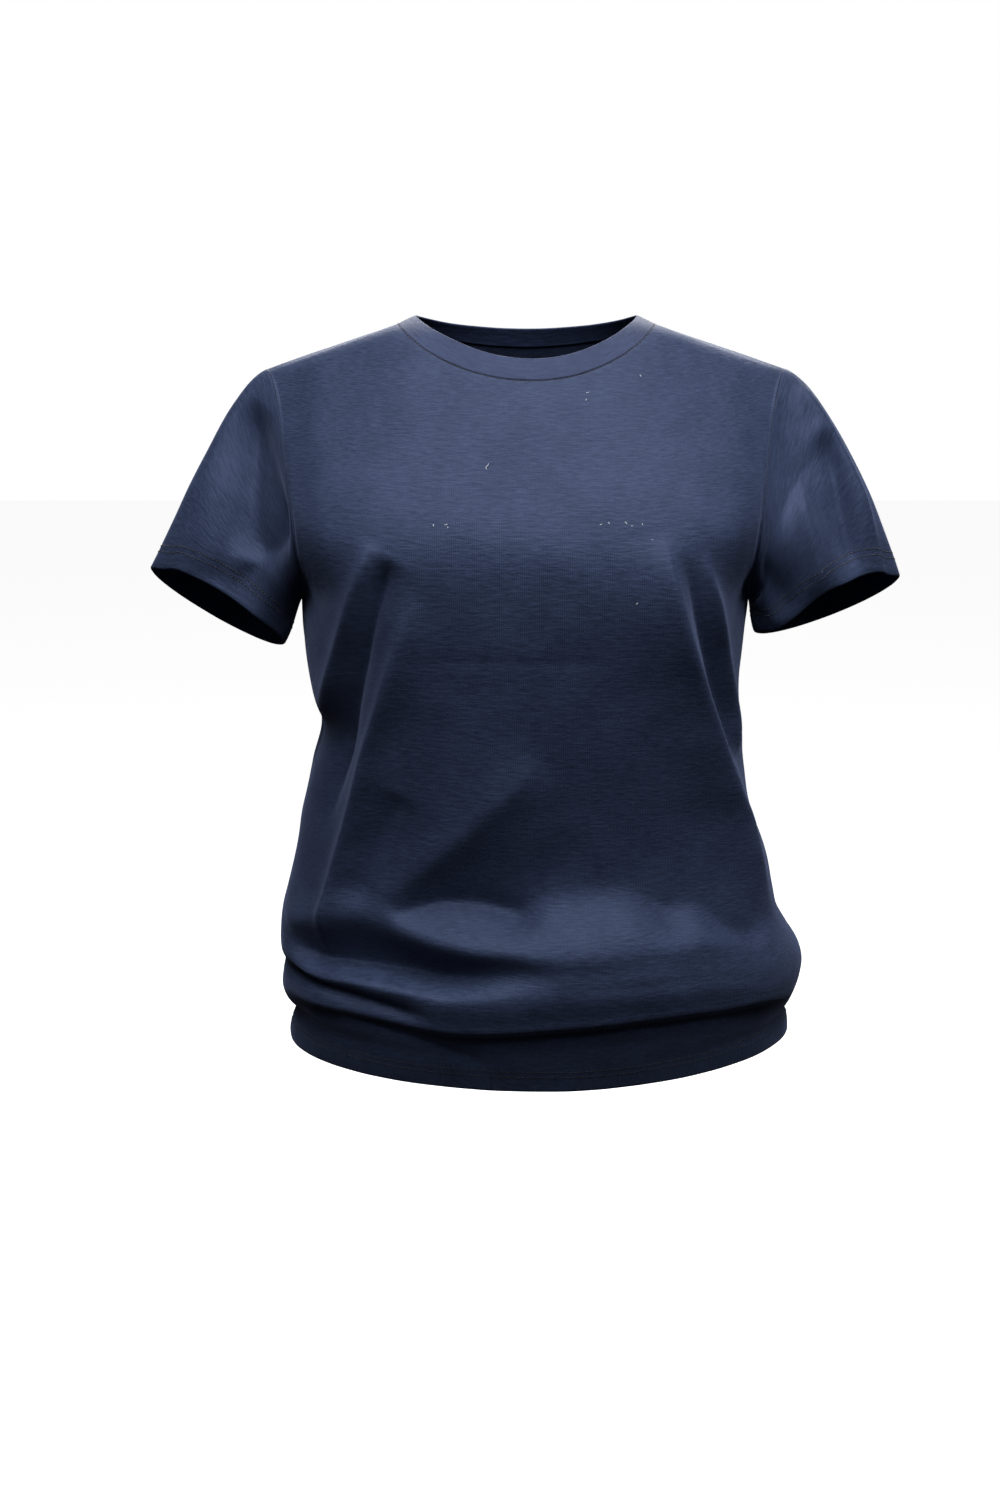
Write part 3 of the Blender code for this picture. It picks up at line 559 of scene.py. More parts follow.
# %% Sizes of the sleeves
# A cuff is an oval: its middle, its half length and half width, the way to its top, how
# steeply it rises to the front, and its sag.
Cuff = namedtuple("Cuff", "side x y z long short out_x out_z front_z sag")
CUFFS = (
    Cuff(RIGHT, -0.2400, -0.0165, -0.2210, 0.0590, 0.0460, -0.874, 0.485, 0.45, 0.000),
    Cuff(LEFT, 0.2350, -0.0160, -0.2190, 0.0600, 0.0460, 0.940, 0.342, 0.45, 0.014),
)
SAG_AT, SAG_WIDTH = 2.35, 0.50  # where the cuff sags, in radians from the top, and how wide
# The way the cloth leaves the armhole at three places, and how long it keeps to it.
Leave = namedtuple("Leave", "place out forward up handle")
LEAVES = (
    Leave("top", 0.94, 0.00, -0.34, 0.17),
    Leave("middle", 0.62, -0.50, -0.78, 0.30),
    Leave("underarm", 0.55, 0.00, -0.84, 0.30),
)
CUFF_HANDLE = 0.38      # the share of a line that heads straight out of the cuff
SQUARE = 0.68           # below 1, the cloth falls straight down in front from a broad top
SLEEVE_ROWS = 9 * FINER


def sleeve(angle, along, cuff):
    """A plain sleeve: the angle runs round the armhole from the shoulder."""
    face = np.where(angle < 0, BACK, FRONT)
    turn = np.abs(angle)
    start = np.where(
        (face == FRONT)[..., None],
        armhole(turn, cuff.side, FRONT),
        armhole(turn, cuff.side, BACK),
    )
    cos, sin = np.cos(turn), np.sin(turn)
    shares = np.stack([np.maximum(cos, 0) ** 2, sin**2, np.maximum(-cos, 0) ** 2], -1)
    leave = vectors(
        cuff.side * (shares @ column(LEAVES, "out")),
        face * (shares @ column(LEAVES, "forward")),
        shares @ column(LEAVES, "up"),
    )
    outward = unit(vectors(cuff.out_x, 0, cuff.out_z))
    forward = unit(vectors(0, -1, cuff.front_z))
    from_sag = (angle - SAG_AT + math.pi) % (2 * math.pi) - math.pi
    sag = cuff.sag * np.exp(-((from_sag / SAG_WIDTH) ** 2))
    square = np.where((cos > 0) & (face == FRONT), sin**SQUARE, sin)
    end = (
        vectors(cuff.x, cuff.y, cuff.z - sag)
        + outward * (cuff.long * cos)[..., None]
        - forward * (cuff.short * square * face)[..., None]
    )
    axis = unit(vectors(cuff.side * cuff.out_z, 0, -abs(cuff.out_x)))
    reach = np.linalg.norm(end - start, axis=-1)
    handle = (shares @ column(LEAVES, "handle")) * reach
    after = start + unit(leave) * handle[..., None]
    before = end - axis * (CUFF_HANDLE * reach)[..., None]
    return cubic(start, after, before, end, along)


# %% Folds of the sleeves
# A sleeve fold is placed by its turn round the arm, in half turns from the shoulder
# towards the front, and by its share of the way from the armhole to the cuff. The first
# one of each sleeve runs round it, where the cuff is drawn in at the front.
SLEEVE_FOLDS = {
    RIGHT: (
        Fold(0.00, -1.00, 0.36, -1.00, 0.74, -1.00, -0.0150, 0.010, 0.045, 0.010),
        Fold(0.19, -0.12, 0.38, -0.38, 0.60, -0.66, -0.0150, 0.014, 0.020, 0.008),
        Fold(0.50, 0.00, 0.58, -0.35, 0.63, -1.02, -0.0120, 0.016, 0.010, 0.006),
        Fold(0.38, -0.45, 0.46, -0.75, 0.52, -1.05, -0.0035, 0.010, 0.009, 0.004),
        Fold(-0.40, -0.10, -0.45, -0.50, -0.50, -0.95, -0.0040, 0.010, 0.010, 0.003),
        Fold(-0.70, -0.05, -0.68, -0.45, -0.66, -0.90, -0.0050, 0.010, 0.010, 0.003),
    ),
    LEFT: (
        Fold(0.00, -1.00, 0.22, -1.00, 0.46, -1.00, -0.0110, 0.010, 0.040, 0.010),
        Fold(0.10, -0.10, 0.14, -0.46, 0.20, -0.92, 0.0050, 0.007, 0.014, 0.005),
        Fold(0.17, -0.28, 0.26, -0.42, 0.34, -0.58, 0.0040, 0.005, 0.004, 0.002),
        Fold(0.20, -0.34, 0.30, -0.60, 0.45, -1.04, -0.0110, 0.009, 0.010, 0.004),
        Fold(0.42, -0.30, 0.50, -0.62, 0.56, -1.04, 0.0110, 0.009, 0.014, 0.003),
        Fold(0.72, -0.05, 0.70, -0.50, 0.68, -1.00, -0.0060, 0.010, 0.009, 0.003),
        Fold(0.80, -0.30, 0.77, -0.65, 0.74, -1.05, 0.0050, 0.008, 0.008, 0.003),
        Fold(-0.35, -0.10, -0.42, -0.50, -0.45, -0.95, -0.0040, 0.010, 0.010, 0.003),
        Fold(-0.66, -0.05, -0.66, -0.45, -0.62, -0.90, -0.0050, 0.010, 0.010, 0.003),
    ),
}
ARM_HALF_TURN = 0.19    # metres of cloth in half a turn of the sleeve
SLEEVE_LENGTH = 0.15
SEAM_FADE = 0.20        # share of the length over which folds die out at the armhole


def make_sleeve(cuff):
    """A sleeve with its folds, from the armhole to the cuff and once round."""
    turns = armhole_turn(np.arange(ARMHOLE_ROWS + 1) / ARMHOLE_ROWS)
    angles = np.concatenate([turns[::-1], -turns[1:]])
    along = np.arange(SLEEVE_ROWS + 1) / SLEEVE_ROWS
    places = sleeve(*np.meshgrid(angles, along), cuff)
    piece = Net(places=places, normals=grid_normals(places, (0, 0, 1)))
    share_normals([piece])
    lift = 0
    x, z = np.meshgrid(angles / math.pi * ARM_HALF_TURN, -along * SLEEVE_LENGTH)
    for fold in SLEEVE_FOLDS[cuff.side]:
        in_metres = {
            axis + point: getattr(fold, axis + point) * size
            for axis, size in (("x", ARM_HALF_TURN), ("z", SLEEVE_LENGTH)) for point in "123"
        }
        lift = lift + fold_height(fold._replace(**in_metres), x, z)
    lift = lift * (1 - fade(along / SEAM_FADE))[:, None]
    piece.places = places + piece.normals * lift[..., None]
    piece.normals = grid_normals(piece.places, (0, 0, 1))
    return piece


sleeve_right, sleeve_left = (make_sleeve(cuff) for cuff in CUFFS)
print("sleeve net:", sleeve_left.places.shape[:2])

# %% [markdown]
# ## The neckband
# The band is one strip of rib, folded double along its length and sewn to the neckline
# slightly stretched, so it draws in and stands up round the neck. Its outer layer runs
# from the seam to the fold at its top, and its inner layer back down again.

# %% The band
# The top of the band: its middle in front and behind, and how squarely it turns.
Band = namedtuple("Band", "face x y z flat reach")
BANDS = (
    Band(FRONT, 0.0036, -0.0615, -0.0318, 0.62, 0.56),
    Band(BACK, 0.0000, 0.0500, -0.0108, 0.70, 0.56),
)
BAND_ROWS = 8
BAND_CROWN = 0.0002     # the rib stands a little proud between seam and fold
BAND_DEPTH = 0.0017     # from the outer face to the inner face
FOLD_ROWS = 5           # rows round the fold at the top


def band_top(u, band):
    """The top of the band in front or behind, for u from -1 to 1 across."""
    side = np.where(u < 0, RIGHT, LEFT)
    centre = np.array((band.x, band.y, band.z))
    edge = vectors(side * BAND_TOP_HALF, 0, 0)
    leave = centre + vectors(side * BAND_TOP_HALF * band.flat, 0, 0)
    before = edge + vectors(0, band.y * band.reach, 0)
    return cubic(centre, leave, before, edge, np.abs(u))


def make_band():
    """The outer layer of the band, from its top down to the seam and once round."""
    front_u = np.arange(FRONT_COLUMNS) / FRONT_COLUMNS * 2 - 1
    back_u = 1 - np.arange(BACK_COLUMNS + 1) / BACK_COLUMNS * 2
    top = np.concatenate([band_top(front_u, BANDS[0]), band_top(back_u, BANDS[1])])
    seam = np.concatenate([front.places[0, :-1], back.places[0, ::-1]])
    share = (np.arange(BAND_ROWS + 1) / BAND_ROWS)[:, None, None]
    places = top * (1 - share) + seam * share
    normals = grid_normals(places, (0, 0, 1))   # the band leans in, so it faces up
    ends = unit(normals[:, :1] + normals[:, -1:])
    normals[:, :1] = normals[:, -1:] = ends
    places = places + normals * BAND_CROWN * np.sin(math.pi * share)
    return Net(places=places, normals=normals)


neckband = make_band()
band_in_front = neckband.places[:, FRONT_COLUMNS // 2]
band_height = np.linalg.norm(band_in_front[0] - band_in_front[-1])
print("band height in front: %.1f mm" % (band_height / MM))

# %% [markdown]
# ## Finishing the cloth
# Each net now gets the small things that make it cloth. It takes a slight unevenness,
# because no jersey hangs perfectly smooth. At a seam two edges are pulled inwards by the
# thread, which leaves a narrow ditch. At the hem the cloth is turned up inside and makes
# a round double edge. Both need points close together just there, and nowhere else.

# %% Unevenness, seam ditches and turned hems
WALL = 0.0011           # thickness of the jersey
DITCH = 0.0002          # depth of a seam
DITCH_SIDE = 0.0010     # half its width
HEM = 0.020             # depth of a hem
HEM_ROUND = WALL + 0.0002   # radius of its turned edge
HEM_TURN = (math.pi / 4, math.pi / 2, 3 * math.pi / 4)  # where its points lie on the bend
Wave = namedtuple("Wave", "length height seed")
WAVES = (Wave(0.070, 0.0009, 3.1), Wave(0.024, 0.00035, 7.7))


def uneven(piece):
    """Moves the cloth in and out by soft waves, by where each point lies."""
    for wave in WAVES:
        for spot in np.ndindex(piece.places.shape[:2]):
            at = Vector(piece.places[spot]) / wave.length
            push = noise.noise(at + Vector((wave.seed, 0, 0))) * wave.height
            piece.places[spot] += piece.normals[spot] * push


def beside_edge(rows):
    """A net with one more row, next to its first."""
    step = rows[1] - rows[0]
    length = np.maximum(np.linalg.norm(step[..., :3], axis=-1, keepdims=True), 1e-9)
    extra = rows[0] + step * np.minimum(DITCH_SIDE / length, 0.5)
    return np.concatenate([rows[:1], extra[None], rows[1:]])


def sew(piece, top=False, bottom=False, sides=False):
    """Pulls the sewn edges of a piece in to make the ditch of the seam."""
    net = np.concatenate([piece.places, piece.normals], axis=-1)
    for quarter_turns, sewn in enumerate((top, sides, bottom, sides)):
        if sewn:
            net = np.rot90(beside_edge(np.rot90(net, quarter_turns)), -quarter_turns)
    places, normals = net[..., :3], net[..., 3:]
    drawn_in = np.zeros(net.shape[:2] + (1,))
    drawn_in[0], drawn_in[-1] = top, bottom
    if sides:
        drawn_in[:, [0, -1]] = 1
    piece.places = places - normals * drawn_in * DITCH
    piece.normals = unit(normals)


def around_edge(edge, normals, onward, radius, angles):
    """Rows of points round the bend at an edge, where the cloth turns inside."""
    return np.array([
        edge - normals * radius
        + (onward * math.sin(angle) + normals * math.cos(angle)) * radius
        for angle in angles
    ])


def turn_up(piece):
    """Turns the hem up inside, and notes how many rows the outside has."""
    places, normals = piece.places, piece.normals
    steps = np.linalg.norm(np.diff(places, axis=0), axis=-1).mean(axis=1)
    rows_up = int(np.searchsorted(np.cumsum(steps[::-1]), HEM)) + 1
    down = unit(places[-1] - places[-2])
    turn = around_edge(places[-1], normals[-1], down, HEM_ROUND, HEM_TURN)
    inner = (places - normals * 2 * HEM_ROUND)[::-1][: rows_up + 1]
    piece.places = np.concatenate([places, turn, inner])
    piece.outside = len(places)


def double_band(piece):
    """Folds the band over at its top and gives it its inner layer."""
    outer = piece.places[::-1]
    normals = piece.normals[::-1]
    up = unit(outer[-1] - outer[-2])
    angles = np.linspace(0, math.pi, FOLD_ROWS + 2)[1:-1]
    fold = around_edge(outer[-1], normals[-1], up, BAND_DEPTH / 2, angles)
    inner = (outer - normals * BAND_DEPTH)[::-1]
    piece.places = np.concatenate([outer, fold, inner])
    piece.outside = len(outer)


all_pieces = [front, back, sleeve_right, sleeve_left, neckband]
share_normals(all_pieces)
for piece in all_pieces:
    uneven(piece)
for piece in (front, back, sleeve_right, sleeve_left):
    sew(piece, top=True, sides=True)
    turn_up(piece)
sew(neckband, bottom=True)
double_band(neckband)
print("rows outside:", [piece.outside for piece in all_pieces])

# %% [markdown]
# ## From nets to meshes
# A net becomes a mesh by moving the points of a plain grid to it. A second set of
# coordinates, the UV map, says where each point lay on the cutting table, in metres, so
# that the knit runs straight on every piece however its cloth is folded.


# %% Grids laid on the nets
def lengths_along(places, axis):
    """How far along its line of the net each point lies."""
    steps = np.linalg.norm(np.diff(places, axis=axis), axis=-1)
    start = np.zeros_like(np.take(steps, [0], axis=axis))
    return np.concatenate([start, np.cumsum(steps, axis=axis)], axis=axis)


def flat_body(places):
    """Where the points of the front or back lay: the courses of the knit stay level."""
    across = lengths_along(places, 1)
    across = across - across[:, places.shape[1] // 2][:, None]
    middle = places[:, places.shape[1] // 2]
    order = np.argsort(-middle[:, 2])
    fallen = np.interp(-places[..., 2], -middle[order, 2], lengths_along(middle, 0)[order])
    above = np.minimum(0, middle[0, 2] - places[..., 2])
    return np.stack([across, -(fallen + above)], axis=-1)


def flat_tube(places):
    """Where the points of a sleeve or the band lay."""
    around = lengths_along(places, 1).mean(axis=0)
    along = lengths_along(places, 0).mean(axis=1)
    return np.stack(np.broadcast_arrays(around[None, :], -along[:, None]), axis=-1)


def painted_seam_shade(places, shaded):
    """Where painted shade goes: 1 on the sewn edges of a net and 0 from the next row on, or 0
    all over.
    """
    shade = np.zeros(places.shape[:2])
    if shaded:
        shade[0] = 1
        shade[:, [0, -1]] = 1
    return shade


def finished(name, bm):
    """The object of a piece whose bmesh is done."""
    mesh = bpy.data.meshes.new(name)
    bm.to_mesh(mesh)
    bm.free()
    mesh.shade_smooth()
    made = bpy.data.objects.new(name, mesh)
    bpy.context.scene.collection.objects.link(made)
    print(name, len(mesh.polygons), "faces")
    return made


def cloth(name, piece, flattened, face, ring=False, wall=WALL, shaded=True):
    """A piece of cloth from its net: a ring is also joined along its first column."""
    places = piece.places
    rows, columns = places.shape[:2]
    flat = flattened(places)
    shade = painted_seam_shade(places, shaded)
    bm = bmesh.new()
    bmesh.ops.create_grid(bm, x_segments=columns - 1, y_segments=rows - 1, size=1.0)
    down = [round((1 - vert.co.y) / 2 * (rows - 1)) for vert in bm.verts]
    across = [round((vert.co.x + 1) / 2 * (columns - 1)) for vert in bm.verts]
    cut = bm.loops.layers.uv.new("cut")
    bm.verts.index_update()
    for mesh_face in bm.faces:
        for loop in mesh_face.loops:
            index = loop.vert.index
            loop[cut].uv = flat[down[index], across[index]]
    # The attribute seam carries the mask of painted seam shade to the material.
    seam = bm.verts.layers.float.new("seam")
    for vert in bm.verts:
        vert.co = places[down[vert.index], across[vert.index]]
        vert[seam] = shade[down[vert.index], across[vert.index]]
    if ring:
        bmesh.ops.remove_doubles(bm, verts=bm.verts, dist=SEWN_WITHIN)
    bm.normal_update()
    outward = Vector((0, face, 0))
    furthest = max(bm.faces, key=lambda f: f.calc_center_median().dot(outward))
    if furthest.normal.dot(outward) < 0:
        bmesh.ops.reverse_faces(bm, faces=bm.faces)
    made = finished(name, bm)
    thicken = made.modifiers.new("wall", "SOLIDIFY")
    thicken.thickness = wall
    thicken.offset = -1
    thicken.use_even_offset = False
    return made


RIB_WALL = 0.7 * WALL   # one layer of the folded band
front_cloth = cloth("front_panel", front, flat_body, FRONT)
back_cloth = cloth("back_panel", back, flat_body, BACK)
right_cloth = cloth("right_sleeve", sleeve_right, flat_tube, FRONT, ring=True)
left_cloth = cloth("left_sleeve", sleeve_left, flat_tube, FRONT, ring=True)
band_cloth = cloth(
    "rib_neckband", neckband, flat_tube, FRONT, ring=True, wall=RIB_WALL, shaded=False
)

# %% [markdown]
# ## Stitching
# The hems are sewn with a twin needle, which leaves two rows of stitches side by side,
# and the neck seam is topstitched just below the band. Each stitch is a short piece of
# thread that lies half sunk in the jersey. A bump map would vanish from the side, so the
# threads are real, but each has only a few faces because there are so many.

# %% Rows of stitches
STITCH_PITCH = 0.0029   # nine stitches to the inch
STITCH_SHARE = 0.74     # the part of the pitch that shows as thread
THREAD = 0.00032        # radius of the thread
THREAD_OUT = 0.1        # how far its middle stands out of the cloth, in radii
STITCH_SIDES = 6


def line_from_edge(places, normals, distance):
    """The line at a distance from the first row of a net, and its normals."""
    lengths = lengths_along(places, 0)
    row = np.clip((lengths < distance).sum(axis=0), 1, len(places) - 1)
    at = np.arange(places.shape[1])
    before, after = lengths[row - 1, at], lengths[row, at]
    share = ((distance - before) / np.maximum(after - before, 1e-9))[:, None]
    point = places[row - 1, at] * (1 - share) + places[row, at] * share
    return point, unit(normals[row - 1, at] * (1 - share) + normals[row, at] * share)


def read_line(table, lengths, at):
    """The points or normals of a line, read at the given lengths along it."""
    return np.stack([np.interp(at, lengths, table[:, axis]) for axis in range(3)], axis=-1)


def evenly(points, normals, pitch):
    """Points at an even pitch along a line, with the way on and the way out."""
    lengths = lengths_along(points[:, None], 0)[:, 0]
    count = int(lengths[-1] // pitch)
    at = (np.arange(count) + 0.5) * lengths[-1] / count
    before, after = (read_line(points, lengths, at + step) for step in (-pitch / 4, pitch / 4))
    outward = unit(read_line(normals, lengths, at))
    return zip(read_line(points, lengths, at), unit(after - before), outward)


def rod(bm, middle, ahead, out, sides, radii, length):
    """A thin rod that lies along the cloth, with one side turned out of it."""
    place = Matrix((ahead.cross(out), out, ahead)).transposed().to_4x4()
    place.translation = middle
    bmesh.ops.create_cone(
        bm, cap_ends=True, segments=sides, radius1=radii[0], radius2=radii[1],
        depth=length, matrix=place,
    )


def stitching(name, lines):
    """Rows of stitches, each stitch a rod that lies along its line."""
    bm = bmesh.new()
    for points, normals in lines:
        for point, ahead, out in evenly(points, normals, STITCH_PITCH):
            ahead, out = Vector(ahead), Vector(out)
            out = ahead.cross(out).normalized().cross(ahead)
            middle = Vector(point) + out * THREAD * THREAD_OUT
            length = STITCH_PITCH * STITCH_SHARE
            rod(bm, middle, ahead, out, STITCH_SIDES, (THREAD, THREAD), length)
    return finished(name, bm)


def hem_lines(piece):
    """The two lines of the twin needle above the hem of a piece."""
    outside = piece.outside
    places = piece.places[:outside][::-1]
    normals = piece.normals[:outside][::-1]
    top = HEM - STITCH_MARGIN
    return [line_from_edge(places, normals, at) for at in (top, top - TWIN_NEEDLE)]


TWIN_NEEDLE = 0.0050    # between the two rows
STITCH_MARGIN = 0.002   # from the upper row to the raw edge inside
NECK_STITCH = 0.0003    # from the seam to the topstitching
hem_threads = stitching("hem_stitching", hem_lines(front) + hem_lines(back))
cuff_threads = stitching("cuff_stitching", hem_lines(sleeve_right) + hem_lines(sleeve_left))
neck_lines = [
    line_from_edge(piece.places, piece.normals, NECK_STITCH) for piece in (front, back)
]
neck_threads = stitching("neck_stitching", neck_lines)

# %% [markdown]
# ## Lint
# Dark jersey picks up pale fibres. Each speck here is one short bent fibre, a thin tube
# that lies on the cloth. They gather at a few places, and never in an even pattern, so
# each is placed one by one, with the way that it points and how much it bends.

# %% Specks of lint on the front
LINT_RADII = (0.00024, 0.000144)    # at the two ends of each half of a fibre
LINT_SIDES = 5
Lint = namedtuple("Lint", "x z turn long bend")
LINT = (
    Lint(0.0445, -0.0560, 0.3, 0.0022, 0.4),
    Lint(0.0432, -0.0610, 1.1, 0.0014, 0.2),
    Lint(0.0840, -0.0440, 2.0, 0.0014, 0.3),
    Lint(0.0148, -0.0820, 0.8, 0.0012, 0.5),
    Lint(-0.0289, -0.1073, 0.9, 0.0036, 0.7),
    Lint(-0.0300, -0.1092, 2.2, 0.0018, 0.3),
    Lint(-0.0680, -0.1487, 1.4, 0.0017, 0.2),
    Lint(-0.0590, -0.1482, 0.2, 0.0019, 0.5),
    Lint(-0.0577, -0.1500, 1.9, 0.0013, 0.1),
    Lint(0.0530, -0.1480, 0.5, 0.0018, 0.4),
    Lint(0.0586, -0.1470, 2.6, 0.0014, 0.3),
    Lint(0.0712, -0.1468, 2.4, 0.0022, 0.6),
    Lint(0.0754, -0.1492, 0.1, 0.0014, 0.2),
    Lint(0.0830, -0.1480, 1.7, 0.0016, 0.4),
    Lint(0.0900, -0.1590, 2.5, 0.0022, 0.4),
    Lint(0.0790, -0.2040, 0.7, 0.0018, 0.3),
)
front_points = front.places[:front.outside].reshape(-1, 3)
front_ways = front.normals.reshape(-1, 3)
lint_bm = bmesh.new()
for speck in LINT:
    away = np.hypot(front_points[:, 0] - speck.x, front_points[:, 2] - speck.z)
    nearest = np.argmin(away)
    out = Vector(front_ways[nearest])
    level = Vector((0, 0, 1)).cross(out).normalized()
    rising = out.cross(level)
    on_cloth = Vector((speck.x, front_points[nearest][1], speck.z)) + out * LINT_RADII[0]
    for side in (-1, 1):
        way = speck.turn + side * speck.bend / 2
        ahead = level * math.cos(way) + rising * math.sin(way)
        middle = on_cloth + ahead * side * speck.long / 4
        rod(lint_bm, middle, ahead, out, LINT_SIDES, LINT_RADII, speck.long / 2)
lint = finished("lint", lint_bm)
print(len(LINT), "specks of lint")

# %% [markdown]
# ## Materials
# The cloth is combed cotton single jersey, dyed navy. Its surface is a mass of fine
# fibres, so it is matt, and at a flat angle the fibres catch the light: that is the
# sheen. The yarn is never quite even, and its thick places run as faint level streaks.


# %% Helpers for materials
def linear(hex_colour):
    """An sRGB hex colour as linear values with full alpha."""
    values = [int(hex_colour[i:i + 2], 16) / 255 for i in (1, 3, 5)]
    return [v / 12.92 if v <= 0.04045 else ((v + 0.055) / 1.055) ** 2.4 for v in values] + [1]


def add_node(tree, kind, settings, links=None):
    """Adds a node, sets its properties and sockets, and links sockets into it."""
    node = tree.nodes.new(kind)
    for name, value in settings.items():
        if isinstance(name, str) and hasattr(node, name):
            setattr(node, name, value)
        else:
            node.inputs[name].default_value = value
    for name, source in (links or {}).items():
        tree.links.new(source, node.inputs[name])
    return node


def finish(name, settings):
    """A material with the given constants on its shader."""
    made = bpy.data.materials.new(name)
    made.use_nodes = True
    for socket, value in settings.items():
        made.node_tree.nodes["Principled BSDF"].inputs[socket].default_value = value
    return made


NAVY_DARK, NAVY_LIGHT = "#1F273B", "#2D374F"
print("navy:", [round(value, 4) for value in linear(NAVY_DARK)])

# %% Combed cotton jersey
# Painted shade: the colour painted on the sewn edges, as dark as a seam's ditch in shade.
SEAM_PAINTED_SHADE = "#05070E"  # the bottom of a seam, where hardly any light comes
SEAM_POWER = 0.7        # below 1, the shade reaches further out from the seam
RAMP = (0.42, 0.58)     # between these tones the colour goes from dark to light
WAVE_TO_WALE = 1 / math.pi      # makes one wave of the node about one wale wide
Tone = namedtuple("Tone", "across_mm down_mm detail roughness share")
TONES = (
    Tone(9, 1.1, 4, 0.7, 0.65),         # streaks: thick places in the yarn
    Tone(38, 30, 2, 0.5, 0.20),         # clouds: the dye, and wear
    Tone(0.9, 0.9, 2, 0.5, 0.15),       # fuzz: loose ends of fibre
)
# Jersey dries with short level wrinkles, too small to be worth points of their own.
WRINKLES = Tone(12, 3.2, 2, 0.5, 1)


def sized(tree, cut, across_mm, down_mm):
    """The places on the cutting table, counted in the given sizes."""
    scale = (1 / (across_mm * MM), 1 / (down_mm * MM), 1)
    counted = add_node(tree, "ShaderNodeMapping", {"Scale": scale}, {"Vector": cut})
    return counted.outputs["Vector"]


def pattern(tree, cut, tone):
    """Noise with the size of a tone across and down the cloth."""
    made_noise = add_node(
        tree, "ShaderNodeTexNoise",
        {"Scale": 1.0, "Detail": tone.detail, "Roughness": tone.roughness},
        {"Vector": sized(tree, cut, tone.across_mm, tone.down_mm)},
    )
    return made_noise.outputs["Fac"]


def jersey(name, dark, light, wale_mm, sheen):
    """Knitted cotton: matt, with a sheen of fibres, an uneven tone, a grain of wales and
    painted seam shade.
    """
    made = finish(name, {
        "Roughness": 0.55,
        "IOR": 1.45,
        "Specular IOR Level": 0.5,
        "Specular Tint": linear("#9AA6D0"),
        "Sheen Weight": sheen,
        "Sheen Roughness": 0.45,
        "Sheen Tint": linear("#8E9CC8"),
    })
    tree = made.node_tree
    shader = tree.nodes["Principled BSDF"]
    cut = add_node(tree, "ShaderNodeUVMap", {"uv_map": "cut"}).outputs["UV"]
    total = None
    for tone in TONES:
        links = {0: pattern(tree, cut, tone)}
        if total is not None:
            links[2] = total
        added = add_node(
            tree, "ShaderNodeMath", {"operation": "MULTIPLY_ADD", 1: tone.share, 2: 0.0}, links
        )
        total = added.outputs[0]
    ramp = add_node(tree, "ShaderNodeValToRGB", {}, {"Fac": total})
    for element, position, colour in zip(ramp.color_ramp.elements, RAMP, (dark, light)):
        element.position, element.color = position, linear(colour)
    # Painted shade: on the sewn edges the base colour darkens to near black, like a seam's
    # ditch in shade.
    seam = add_node(tree, "ShaderNodeAttribute", {"attribute_name": "seam"})
    wide = add_node(
        tree, "ShaderNodeMath", {"operation": "POWER", 1: SEAM_POWER}, {0: seam.outputs["Fac"]}
    )
    shaded = add_node(
        tree, "ShaderNodeMix", {"data_type": "RGBA", 7: linear(SEAM_PAINTED_SHADE)},
        {"Factor": wide.outputs[0], 6: ramp.outputs["Color"]},
    )
    tree.links.new(shaded.outputs[2], shader.inputs["Base Color"])

    # The wales are 0.7 mm apart, too fine to draw: here they are as coarse as they need
    # to be to show as a grain.
    wales = add_node(
        tree, "ShaderNodeTexWave", {"Scale": WAVE_TO_WALE, "Distortion": 1.2, "Detail": 1.0},
        {"Vector": sized(tree, cut, wale_mm, wale_mm)},
    )
    grain = add_node(
        tree, "ShaderNodeMath", {"operation": "MULTIPLY_ADD", 1: 0.25},
        {0: wales.outputs["Fac"], 2: total},
    )
    bump = add_node(
        tree, "ShaderNodeBump", {"Strength": 0.5, "Distance": 0.5 * MM},
        {"Height": grain.outputs[0]},
    )
    wrinkles = add_node(
        tree, "ShaderNodeBump", {"Strength": 0.28, "Distance": 1.6 * MM},
        {"Height": pattern(tree, cut, WRINKLES), "Normal": bump.outputs["Normal"]},
    )
    tree.links.new(wrinkles.outputs["Normal"], shader.inputs["Normal"])
    return made


navy_jersey = jersey("combed cotton jersey", NAVY_DARK, NAVY_LIGHT, 1.4, 0.30)
# The rib is the jersey's navy painted a little darker, as painted shade on the upright band,
# and it has less sheen.
navy_rib = jersey("cotton rib", "#1E253A", "#28314A", 1.6, 0.12)
for made_cloth in (front_cloth, back_cloth, right_cloth, left_cloth):
    made_cloth.data.materials.append(navy_jersey)
band_cloth.data.materials.append(navy_rib)
print("jersey:", len(navy_jersey.node_tree.nodes), "nodes")

# %% Polyester thread
# Thread spun from short fibres is a little hairy, so it only shines faintly.
# Its near-black colour is the thread's own navy painted darker, as shade where the stitches
# sink into the jersey.
thread = finish("spun polyester thread", {
    "Base Color": linear("#0A0D17"), "Roughness": 0.55, "Sheen Weight": 0.2,
})
for threads in (hem_threads, cuff_threads, neck_threads):
    threads.data.materials.append(thread)

# %% Undyed cotton fibre
# A loose fibre is matt and off-white, so against navy it is the brightest thing there.
fibre = finish("undyed cotton fibre", {"Base Color": linear("#DDE0E6"), "Roughness": 0.8})
lint.data.materials.append(fibre)

# %% [markdown]
# ## Putting the pieces on the frame
# All pieces ride on the one body of the CAD model, and each piece of cloth takes the
# place of its node.

# %% Rides and replaced nodes
for made_piece, node in (
    (front_cloth, "front"),
    (back_cloth, "back"),
    (right_cloth, "sleeve_right"),
    (left_cloth, "sleeve_left"),
    (band_cloth, "neckband"),
):
    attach(made_piece, "root")
    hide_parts(node)
for threads in (hem_threads, cuff_threads, neck_threads, lint):
    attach(threads, "root")

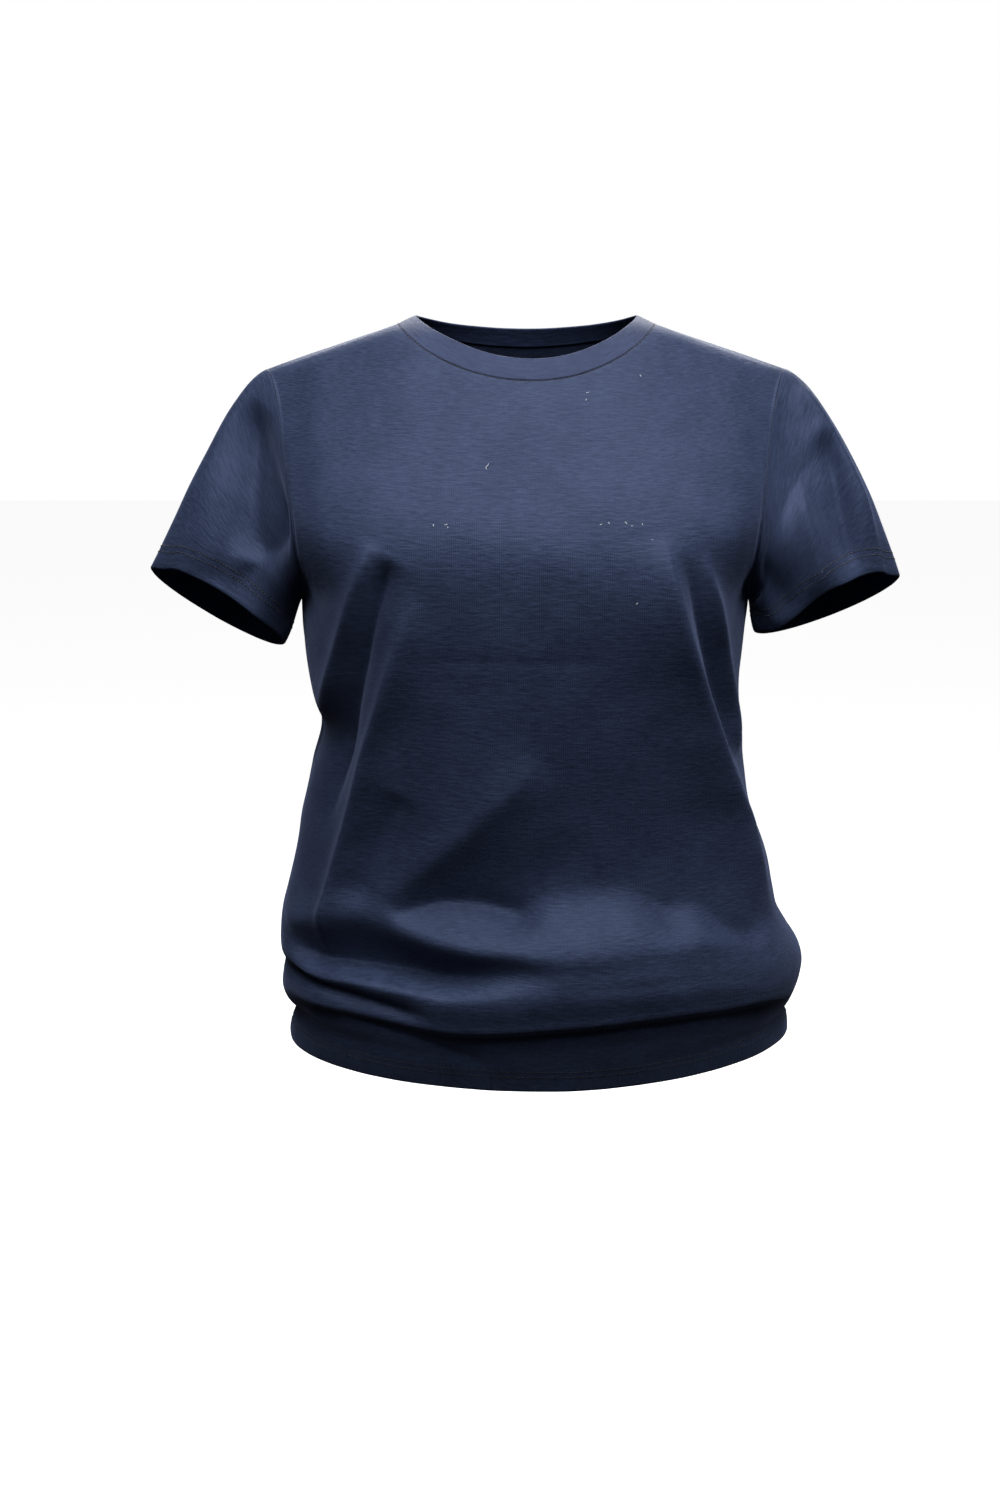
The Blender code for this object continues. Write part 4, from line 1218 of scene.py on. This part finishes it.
# %% [markdown]
# ## Camera, floor and light
# The camera stands at the height of the shoulders and looks down a little. The light is
# one large soft box over the shirt, as in a shop with a lit ceiling, with a weak fill
# from the front. It leaves the chest bright and everything under it in shade. A third
# box lights the back. The floor glows by itself, so that it stays an even white, and
# only the camera sees it, so that it throws no light up at the shirt.

# %% Camera
CAMERA_AT = (-0.020, -1.600, 0.0)
CAMERA_DOWN = math.radians(12.02)
LENS_MM, SENSOR_MM = 49.03, 36.0
camera_data = bpy.data.cameras.new("camera")
camera_data.sensor_fit = "VERTICAL"
camera_data.sensor_height = SENSOR_MM
camera_data.lens = LENS_MM
camera = bpy.data.objects.new("camera", camera_data)
camera.location = CAMERA_AT
camera.rotation_euler = (math.pi / 2 - CAMERA_DOWN, 0, 0)
bpy.context.scene.collection.objects.link(camera)
bpy.context.scene.camera = camera

# %% Floor
FLOOR_Z, FLOOR_HALF = -1.38, 14.0
floor_bm = bmesh.new()
bmesh.ops.create_grid(floor_bm, x_segments=1, y_segments=1, size=FLOOR_HALF)
bmesh.ops.translate(floor_bm, verts=floor_bm.verts, vec=(0, 0, FLOOR_Z))
floor = finished("floor", floor_bm)
floor.data.materials.append(finish("matt white paint", {
    "Base Color": linear("#F2F2F2"),
    "Roughness": 0.9,
    "Emission Color": linear("#FFFFFF"),
    "Emission Strength": 0.93,
}))
floor.visible_diffuse = False
floor.visible_glossy = False

# %% Lights
Softbox = namedtuple("Softbox", "name place aim size watts")
SOFTBOXES = (
    Softbox("ceiling", (0.12, -0.85, 1.50), (0, -0.05, -0.25), (2.2, 2.0), 90),
    Softbox("front", (-0.3, -2.0, 1.5), (0, 0, -0.3), (1.2, 1.2), 6),
    Softbox("behind", (0.2, 2.0, 1.3), (0, 0.1, -0.3), (2.4, 1.6), 60),
)
for box in SOFTBOXES:
    light = bpy.data.lights.new(box.name, "AREA")
    light.shape = "RECTANGLE"
    light.size, light.size_y = box.size
    light.energy = box.watts
    lamp = bpy.data.objects.new(box.name, light)
    lamp.location = box.place
    way = Vector(box.aim) - Vector(box.place)
    lamp.rotation_euler = way.to_track_quat("-Z", "Y").to_euler()
    bpy.context.scene.collection.objects.link(lamp)

AMBIENT = 0.02          # the faint light of a room, beside a backdrop that the camera sees
world = bpy.data.worlds.new("studio")
world.use_nodes = True
bpy.context.scene.world = world
tree = world.node_tree
tree.nodes.clear()
white = {"Color": (1, 1, 1, 1)}
ambient = add_node(tree, "ShaderNodeBackground", {**white, "Strength": AMBIENT})
seen = add_node(tree, "ShaderNodeBackground", {**white, "Strength": 1.0})
path = add_node(tree, "ShaderNodeLightPath", {})
mix = add_node(
    tree, "ShaderNodeMixShader", {},
    {"Fac": path.outputs["Is Camera Ray"], 1: ambient.outputs[0], 2: seen.outputs[0]},
)
add_node(tree, "ShaderNodeOutputWorld", {}, {"Surface": mix.outputs[0]})
bpy.context.scene.view_settings.view_transform = "Standard"
